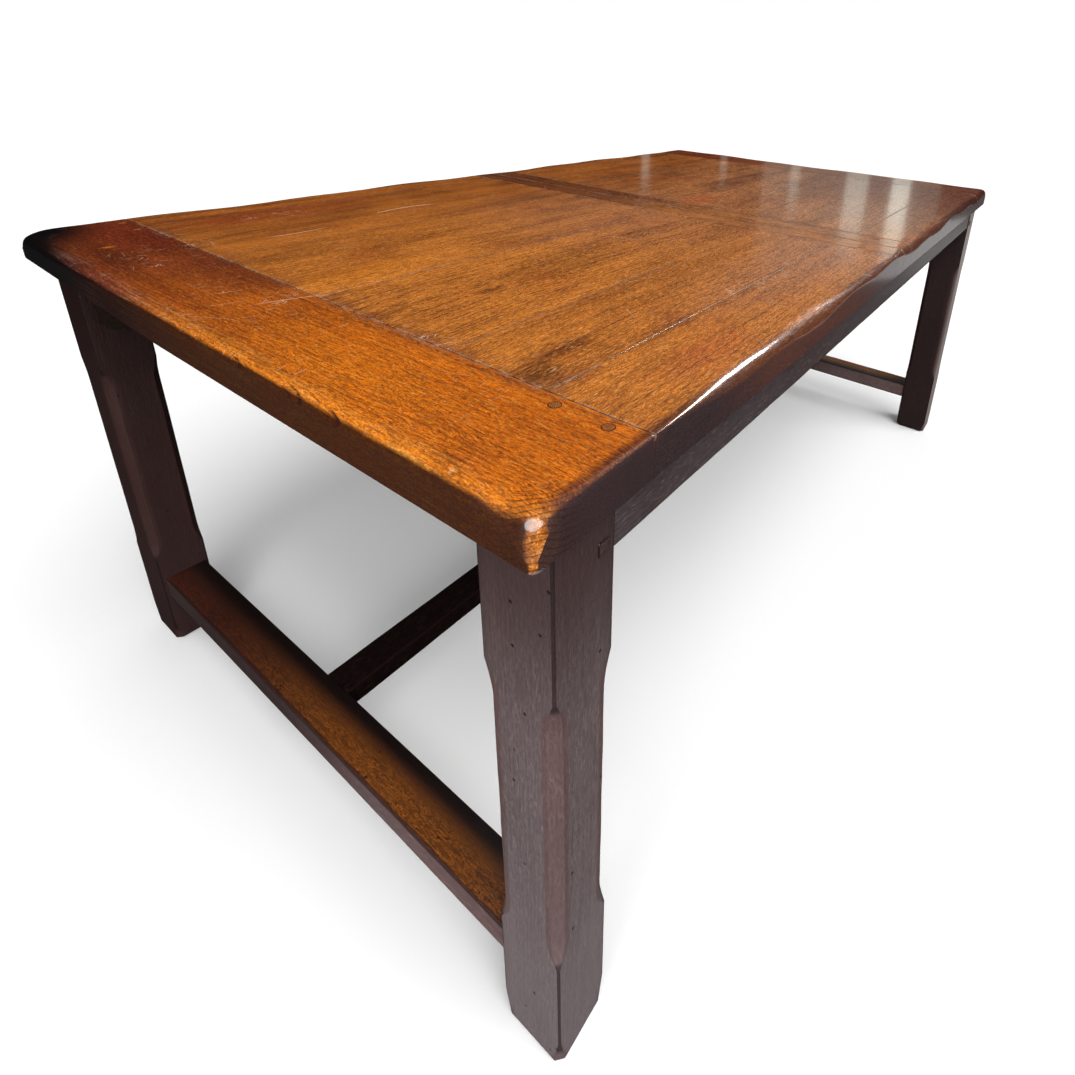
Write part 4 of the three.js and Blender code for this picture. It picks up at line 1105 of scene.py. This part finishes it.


# %% [markdown]
# Spills, knots and worn places are soft spots of stain, each at its own place; a few spots are painted
# highlights and a painted haze of reflected light. At the near corner the layers of the wood come to the
# edge at a slant, and show as dark loops and close lines.

# %% Stains and loops of the top
# centre and half sizes in metres, colour, share
FAR_STAINS_AND_HAZE = [
    ((0.85, -0.42), (0.85, 0.62), (98, 46, 48), 0.74),
    # The next patch is a painted pale haze of reflected light.
    ((0.24, -0.38), (0.26, 0.16), (160, 120, 98), 0.40),
]
BOARD_STAINS_AND_HAZE = FAR_STAINS_AND_HAZE + [
    # The next two patches are a painted pale haze of reflected light.
    ((-0.20, -0.42), (0.42, 0.12), (172, 122, 100), 0.40),
    ((-0.15, 0.00), (0.40, 0.35), (190, 128, 96), 0.30),
    ((-0.68, 0.01), (0.15, 0.05), (222, 128, 26), 0.50),
    ((-0.47, -0.15), (0.25, 0.06), (92, 46, 18), 0.40),
    ((-0.612, -0.485), (0.11, 0.040), (168, 62, 34), 0.42),
    ((0.111, -0.042), (0.12, 0.050), (186, 84, 50), 0.60),
    ((-0.754, -0.386), (0.040, 0.032), (52, 20, 12), 0.60),
    ((-0.700, -0.365), (0.075, 0.018), (66, 28, 16), 0.55),
    ((-0.626, -0.172), (0.035, 0.014), (60, 26, 14), 0.55),
    ((-0.60, 0.42), (0.25, 0.09), (150, 44, 18), 0.35),
]
BREADBOARD_STAINS_AND_GLINTS = FAR_STAINS_AND_HAZE + [
    ((-0.80, 0.42), (0.09, 0.20), (116, 30, 16), 0.65),
    ((-0.80, 0.13), (0.07, 0.18), (104, 40, 26), 0.50),
    ((-0.86, -0.25), (0.05, 0.20), (214, 116, 12), 0.40),
    # A painted golden highlight on a chip, then a chip drawn as a dark spot with a painted white highlight.
    ((-0.855, 0.354), (0.013, 0.008), (206, 116, 20), 0.85),
    ((-0.905, -0.449), (0.008, 0.007), (52, 22, 10), 0.80),
    ((-0.906, -0.446), (0.0035, 0.003), (240, 206, 176), 0.95),
]
CORNER_STAINS = [
    ((-0.93, 0.58), (0.14, 0.24), (8, 5, 6), 1.00),
    ((-0.940, 0.44), (0.060, 0.26), (9, 5, 6), 0.95),
]
# centre and half sizes, lean. The first coordinate is x + z, which runs round the edge onto the flat
EDGE_LOOPS = [
    ((-0.1500, -0.128), (0.0070, 0.026), 0.03), ((-0.1510, -0.232), (0.0100, 0.026), 0.06),
    ((-0.1520, -0.226), (0.0050, 0.015), 0.06), ((-0.1520, -0.292), (0.0090, 0.022), 0.04),
]
LAYERS_FROM = (-0.862, -0.478, 0.800)
LAYERS_PER_METRE = 260.0


def top_stains_and_painted_light(place, tint, stains_and_light, softness=0.8):
    """Lays soft spots over a colour: stain, and a few painted highlights and painted haze."""
    spots = [(spot(place, centre, size, softness), share, tone) for centre, size, tone, share in stains_and_light]
    return coats(tint, spots)


def top_loops(place, tint, loops, cover):
    """Draws dark curled lines, each part of an ellipse's outline: where two annual layers meet the edge."""
    x, y, z = parts(place)
    place = node("ShaderNodeCombineXYZ", {0: plus(x, z), 1: y}).outputs[0]
    for centre, size, lean in loops:
        turned_inputs = {"Vector": vector_calc("SUBTRACT", place, (*centre, 0.0)), "Angle": lean}
        turned = node("ShaderNodeVectorRotate", turned_inputs, rotation_type="Z_AXIS").outputs[0]
        flat = stretch(turned, (1 / size[0], 1 / size[1], 0.0))
        off_line = calc("ABSOLUTE", minus(vector_calc("LENGTH", flat, out="Value"), 1.0))
        open_side = fall(parts(flat)[1], -0.6, 0.3)
        curl = times(step(off_line, 0.03, 0.22, 0.9, 0.0), open_side, cover)
        tint = blend(curl, tint, colour(46, 18, 16))
    return tint


def corner_layers(place, tint, shader):
    """Close dark lines round the near right corner, which also has more coat than the rest."""
    from_start = vector_calc("DISTANCE", place, LAYERS_FROM, out="Value")
    layer = calc("FRACT", plus(times(from_start, LAYERS_PER_METRE), times(cloud(place, 45.0), 1.6)))
    at_corner = spot(place, (-0.915, -0.535), (0.060, 0.050), 0.5)
    tree = place.id_data
    tree.links.new(step(at_corner, 0.0, 1.0, 0.5, 1.0), shader.inputs["Coat Weight"])
    return blend(times(fall(layer, 0.0, 0.45), at_corner, 0.7), tint, colour(56, 22, 8))


# %% The top
BOARD_LOOK = {
    "pale": (228, 136, 48), "deep": (120, 58, 16), "left_pale": (190, 108, 36), "left_deep": (98, 44, 12),
    "flecks": (240, 160, 80), "fleck_share": 0.46, "left": (-0.15, 0.45),
}
BREADBOARD_LOOK = {
    "pale": (236, 124, 8), "deep": (142, 60, 4), "left_pale": (146, 64, 22), "left_deep": (84, 30, 12),
    "flecks": (240, 156, 60), "fleck_share": 0.34, "left": (-0.32, 0.30),
}


def top_material(name, stains_and_light, look=BOARD_LOOK, cleat=False):
    """Waxed oak of the top: colour by place with painted light and shade, figure, spots of stain and painted
    light, joints, rim, scratches and side faces.
    """
    paint, tree, shader, place = start_material(name, 0.4, 0.5, 0.14, sheen=0.12)
    px, py, pz = parts(place)
    normal = add_node(tree, "ShaderNodeNewGeometry").outputs["Normal"]
    upright = parts(normal)[2]
    wood = oak_wood(tree, 0.0042, Coarse=step(px, -0.5, 0.5))
    at = place_group(washes, {"Place": place, "Left From": look["left"][0], "Left To": look["left"][1]})
    face = place_group(faces, {"Place": place, "Normal": normal, "Rim": mark(tree, "rim")})
    left_edge = step(py, -0.1, 0.2)

    # The plank's own figure in the colours of its place, paler near and darker far and left: partly painted
    # light and shade
    pale = blend(at["Far"], colour(*look["pale"]), colour(202, 132, 84))
    deep = blend(at["Far"], colour(*look["deep"]), colour(116, 66, 42))
    pale = blend(at["Left"], pale, colour(*look["left_pale"]))
    deep = blend(at["Left"], deep, colour(*look["left_deep"]))
    uneven_tone = plus(times(wood["Drift"], 0.95), times(at["Blotch"], 0.55))
    calm_tone = times(minus(uneven_tone, 0.75), step(py, -0.30, 0.0, 0.6, 1.0))
    stripe = plus(calm_tone, 0.75, times(wood["Early Wood"], 0.14))
    tint = blend(step(stripe, 0.52, 1.18), pale, deep)
    tint = top_stains_and_painted_light(place, coats(tint, [(at["Red"], 1, (150, 52, 20))]), stains_and_light)
    if cleat:
        tint = coats(tint, [(step(py, -0.20, 0.15, 0.06, 0.62), 1, (74, 28, 24))])

    # The rim: dark along the sides, worn bare and streaky along the ends, purple-brown and mauve towards
    # the left, partly a painted sheen
    tint = blend(times(face["Long Rim"], 0.8), tint, colour(62, 25, 20))
    bare = place_group(edge_wear, {"Edge": face["End Rim"], "Place": place, "Amount": 0.55})["Bare"]
    tint = blend(times(bare, 0.7), tint, blend(left_edge, colour(216, 124, 30), colour(100, 46, 40)))
    streaks = times(step(cloud(place, (330.0, 10.0, 330.0)), 0.46, 0.64), face["End Rim"])
    streaks = times(streaks, step(at["Blotch"], 0.40, 0.55, 0.25, 0.75))
    tint = blend(streaks, tint, blend(left_edge, colour(232, 154, 64), colour(188, 128, 110)))

    # The side faces: dark brown to black along the ends, the black towards the left partly painted shade;
    # grey along the sides, partly a painted sheen that pales towards the far end, with a stretch worn brown
    end_stain_and_shade = blend(step(py, -0.1, 0.25), colour(40, 16, 6), colour(9, 4, 3))
    tint = blend(times(face["End Side"], 0.94), tint, end_stain_and_shade)
    long_side_stain_and_sheen = blend(step(px, -0.45, 0.05), colour(50, 40, 43), colour(92, 84, 82))
    worn_brown = times(step(px, -0.70, -0.50), step(px, -0.28, -0.08, 0.85, 0.0))
    long_side_stain_and_sheen = blend(worn_brown, long_side_stain_and_sheen, colour(92, 54, 43))
    tint = blend(times(face["Long Side"], 0.94), tint, long_side_stain_and_sheen)
    # A painted highlight: a pale grey line along the lower arris of the right side.
    tint = blend(times(face["Lower Edge"], step(py, -0.48, -0.50)), tint, colour(150, 140, 138))
    if look is BREADBOARD_LOOK:
        tint = top_loops(place, tint, EDGE_LOOPS, step(upright, 0.05, 0.25))
        tint = corner_layers(place, tint, shader)

    # Pores, flecks and grit over all of it
    dash_share = minus(minus(0.76, times(face["Long Side"], 0.5)), times(at["Left"], 0.14))
    tint = blend(times(wood["Dashes"], dash_share), tint, colour(48, 16, 7))
    fleck_share = minus(1.0, largest(face["Steep"], times(face["Long Rim"], 0.7)))
    fleck_share = times(fleck_share, step(at["Left"], 0.0, 1.0, look["fleck_share"], 0.12))
    fleck_share = times(fleck_share, step(px, 0.0, 0.5, 1.0, 0.35))
    tint = blend(times(wood["Flecks"], fleck_share), tint, colour(*look["flecks"]))
    tint = blend(1.0, tint, blend(wood["Grit"], grey(0.20), grey(1.90)), "MULTIPLY")
    if look is BREADBOARD_LOOK:
        tint = top_stains_and_painted_light(place, tint, CORNER_STAINS, 0.5)

    # Joints and scratches, and the raw underside
    joint = place_group(joint_wear, {"Distance": mark(tree, "seam"), "Place": place})
    scratch = place_group(scratches, {"Place": place})["Scratch"]
    scratch = calc("MULTIPLY", scratch, face["Flat"], clamp=True)
    tint = coats(tint, [
        (joint["Stain"], 0.45, (84, 40, 34)),
        (joint["Dirt"], 0.8, (34, 16, 10)),
        (joint["Rubbed"], 0.52, (204, 170, 142)),
        (scratch, 0.72, (228, 200, 172)),
        (face["Under"], 1, (70, 44, 30)),
    ])
    rough = plus(times(at["Broad"], 0.18), 0.30, times(wood["Dashes"], 0.15))
    rough = calc("ADD", rough, times(plus(scratch, face["Side"]), 0.25), clamp=True)
    relief = minus(wood["Relief"], times(scratch, 0.5))
    finish_material(tree, shader, tint, rough, relief, 0.00030)
    return paint


board_paint = top_material("waxed_board_oak", BOARD_STAINS_AND_HAZE)
breadboard_paint = top_material("waxed_breadboard_oak", BREADBOARD_STAINS_AND_GLINTS, BREADBOARD_LOOK)
cleat_paint = top_material("waxed_cleat_oak", [], cleat=True)
print("top finishes: 3")

# %% [markdown]
# Legs, rails and stretchers have a darker stain with a dusty bloom and a painted grey sheen, which turn the
# brown towards grey. The arrises have a thin dark line, the chamfers are redder, and wormholes are sprinkled
# over them. Shade is painted in below the top and on the left and far legs, and the far legs' right faces
# get a painted pale reflection.

# %% Dust and wormholes
dust_and_holes, given = new_group("dust_and_holes", {"Place": None})
holes = node("ShaderNodeTexVoronoi", {"Vector": given["Place"], "Scale": 46.0}).outputs
hole_luck = node("ShaderNodeSeparateColor", {0: holes["Color"]}).outputs[0]
hole = times(fall(holes["Distance"], 0.06, 0.11), calc("LESS_THAN", hole_luck, 0.5))
close_group(dust_and_holes, {"Dust": cloud(given["Place"], (5.0, 5.0, 2.2), 3.0), "Hole": hole})


# %% The frame
def worn_and_shaded_foot_rest(tint, wood, px, py, side_x, upright):
    """A stretcher where feet rest: gold and gritty on the outer part of its top, darker to the left with
    painted shade, and black beside that as painted shade; its outer face has painted light on the right and
    painted shade on the left."""
    outward = step(calc("ABSOLUTE", px), 0.822, 0.858)
    facing_up = step(upright, 0.5, 0.9)
    on_top = times(facing_up, outward)
    # Worn gold, darker to the left with painted shade
    worn_gold_and_shade = blend(step(py, -0.20, 0.30), colour(136, 74, 18), colour(74, 34, 20))
    facing_out = step(calc("ABSOLUTE", side_x), 0.8, 0.95)
    # Painted light on the right of the outer face, painted shade on the left
    painted_light_and_shade = blend(step(py, -0.30, 0.10), (1.45, 1.30, 1.26, 1.0), (0.42, 0.36, 0.36, 1.0))
    tint = blend(facing_out, tint, painted_light_and_shade, "MULTIPLY")
    # Painted shade: the whole top black, before the worn outer part is laid over it
    tint = blend(facing_up, tint, colour(22, 10, 8))
    tint = blend(on_top, tint, worn_gold_and_shade)
    tint = blend(times(wood["Dashes"], 0.9, on_top), tint, colour(24, 9, 4))
    return blend(on_top, tint, blend(wood["Grit"], grey(0.0), grey(2.1)), "MULTIPLY")


def frame_material(name, tones, shade=0.0, back_shade=0.0, foot_wear_and_shade=False, sheen=0.3):
    """Stained oak of the frame: figure, dusty grey with a painted sheen, dark arrises and wormholes. tones
    are its pale, its deep and its dusty, sheen-grey colour. shade pales the feet and paints shade below the
    top;
    back_shade paints shade on the left legs and the far legs, and a pale reflection on the far legs' right
    faces."""
    pale, deep, bloom_and_sheen = tones
    coat = sheen * 0.8
    paint, tree, shader, place = start_material(name, 0.5, coat, 0.3, sheen=sheen)
    px, py, pz = parts(place)
    side_x, side_y, upright = parts(add_node(tree, "ShaderNodeNewGeometry").outputs["Normal"])
    wood = oak_wood(tree, 0.0045, Fineness=0.9)
    aged = place_group(dust_and_holes, {"Place": place})

    # The wood and its bloom, greyed further by a painted sheen
    stripe = plus(times(wood["Early Wood"], 0.2), times(wood["Drift"], 0.8))
    tint = blend(step(stripe, 0.3, 0.9), colour(*pale), colour(*deep))
    tint = coats(tint, [
        (step(aged["Dust"], 0.3, 0.7), 0.6, bloom_and_sheen),
        (wood["Dashes"], 0.35, (40, 24, 22)),
        (wood["Flecks"], sheen * 0.4, (190, 170, 160)),
    ])
    if foot_wear_and_shade:
        tint = worn_and_shaded_foot_rest(tint, wood, px, py, side_x, upright)

    # Where it stands: paler towards the feet, painted shade below the top, painted shade on the left and far
    # legs
    at_feet, below_top = step(pz, 0.10, 0.40, 0.5, 0.0), step(pz, 0.46, 0.70)
    tint = coats(tint, [(at_feet, shade, (134, 124, 128)), (below_top, shade, (60, 39, 38))])
    painted_back_shade = times(largest(step(py, 0.1, 0.4), step(px, 0.0, 0.6)), back_shade)
    tree.links.new(step(painted_back_shade, 0.0, 0.8, coat, 0.0), shader.inputs["Coat Weight"])
    tint = blend(painted_back_shade, tint, blend(aged["Dust"], colour(14, 5, 4), colour(52, 20, 12)))

    # The far legs' right faces painted pale, a painted reflection; chamfers, arrises and wormholes
    painted_far_right_reflection = times(fall(side_y, -0.9, -0.6), step(px, 0.3, 0.7))
    on_chamfer = step(mark(tree, "chamfer"), 0.003, 0.006)
    arris = times(step(mark(tree, "worn"), 0.94, 0.999), minus(1.0, on_chamfer))
    tint = coats(tint, [
        (painted_far_right_reflection, back_shade, (146, 134, 130)),
        (times(on_chamfer, minus(0.4, times(painted_back_shade, 0.3))), 1, (88, 54, 48)),
        (arris, 0.75, (30, 13, 14)),
        (aged["Hole"], 0.85, (12, 8, 8)),
    ])
    rough = calc("ADD", times(aged["Dust"], 0.25), 0.36, clamp=True)
    finish_material(tree, shader, tint, rough, minus(wood["Relief"], aged["Hole"]), 0.0004)
    return paint


# The frame's greyish tones hold a dusty bloom and a painted grey sheen.
LEG_TONES = [(110, 92, 90), (74, 58, 56), (109, 100, 104)]
RAIL_TONES = [(78, 62, 62), (50, 38, 38), (84, 76, 80)]
STRETCHER_TONES = [(100, 83, 82), (62, 46, 46), (104, 93, 95)]
# The centre stretcher's near-black tones are painted shade, for its place deep under the top.
CENTRE_SHADE_TONES = [(18, 8, 8), (8, 3, 3), (13, 7, 7)]
leg_paint = frame_material("bloomed_leg_oak", LEG_TONES, shade=0.85, back_shade=0.9)
rail_paint = frame_material("stained_rail_oak", RAIL_TONES)
stretcher_paint = frame_material("stained_stretcher_oak", STRETCHER_TONES, foot_wear_and_shade=True)
centre_paint = frame_material("black_stretcher_oak", CENTRE_SHADE_TONES, sheen=0.05)
print("frame finishes: 4")

# %% [markdown]
# Pegs show their end grain, darker than the boards since it drinks more stain, with a dark outline. The
# slides and bearers below the top never saw any polish: raw oak, brown with age.

# %% Pegs
def peg_material(name, tones):
    """End grain of a peg, with a dark outline where it meets the wood round it. tones are the colours of
    its heart, its pores and its outline."""
    heart, pores, outline_tone = tones
    paint, tree, shader, place = start_material(name, 0.45, 0.3, 0.2, sheen=0.12)
    wood = oak_wood(tree, 0.0018)
    tint = blend(calc("ADD", wood["Early Wood"], wood["Dashes"], clamp=True), colour(*heart), colour(*pores))
    at_far_end = step(parts(place)[0], 0.0, 0.6, 0.0, 0.6)
    outline = step(mark(tree, "worn"), 0.08, 0.50)
    tint = coats(tint, [(at_far_end, 1, (84, 46, 38)), (outline, 0.85, outline_tone)])
    rough = plus(times(wood["Flecks"], 0.3), 0.3)
    finish_material(tree, shader, tint, rough, wood["Relief"], 0.0003)
    return paint


peg_paint = peg_material("peg_end_grain", [(178, 108, 52), (108, 58, 26), (54, 26, 12)])
rail_peg_paint = peg_material("rail_peg_end_grain", [(84, 66, 64), (56, 42, 42), (26, 14, 14)])

# %% Slides and bearers
slide_paint, tree, shader, place = start_material("raw_slide_oak", 0.7, 0.0, 0.5, sheen=0.1)
wood = place_group(oak, {"Grain": place, "Plank": 3.0, "Ring Width": 0.005})
stripe = plus(times(wood["Early Wood"], 0.4), times(wood["Drift"], 0.6))
tint = blend(step(stripe, 0.15, 0.9), colour(96, 66, 44), colour(56, 34, 22))
soot = cloud(place, 6.0, 3.0)
tint = coats(tint, [
    (wood["Dashes"], 0.5, (26, 15, 10)),
    (step(soot, 0.45, 0.75), 0.5, (40, 28, 22)),
    # Painted shade: the slides go near black towards the near end, deep under the top.
    (step(parts(place)[0], -0.80, -0.70, 0.85, 0.0), 1, (18, 11, 9)),
])
finish_material(tree, shader, tint, plus(times(soot, 0.2), 0.6), wood["Relief"], 0.0006)

# %% Each piece gets its finish
PAINTS = [
    ("breadboard_end", breadboard_paint), ("centre_cleat", cleat_paint), ("top_board", board_paint),
    ("rail_peg", rail_peg_paint), ("peg", peg_paint), ("centre_stretcher", centre_paint),
    ("stretcher", stretcher_paint), ("side_rail", rail_paint), ("leg", leg_paint),
]
for piece in pieces_made:
    paint = next(p for word, p in PAINTS if word in piece.name)
    piece.data.materials.clear()
    piece.data.materials.append(paint)
shown_nodes = [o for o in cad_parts.values() if not o.hide_render]
for shown in shown_nodes:
    for index in range(max(1, len(shown.material_slots))):
        if index < len(shown.material_slots):
            shown.material_slots[index].material = slide_paint
        else:
            shown.data.materials.append(slide_paint)
print("painted", len(pieces_made), "pieces and", len(shown_nodes), "measured nodes")
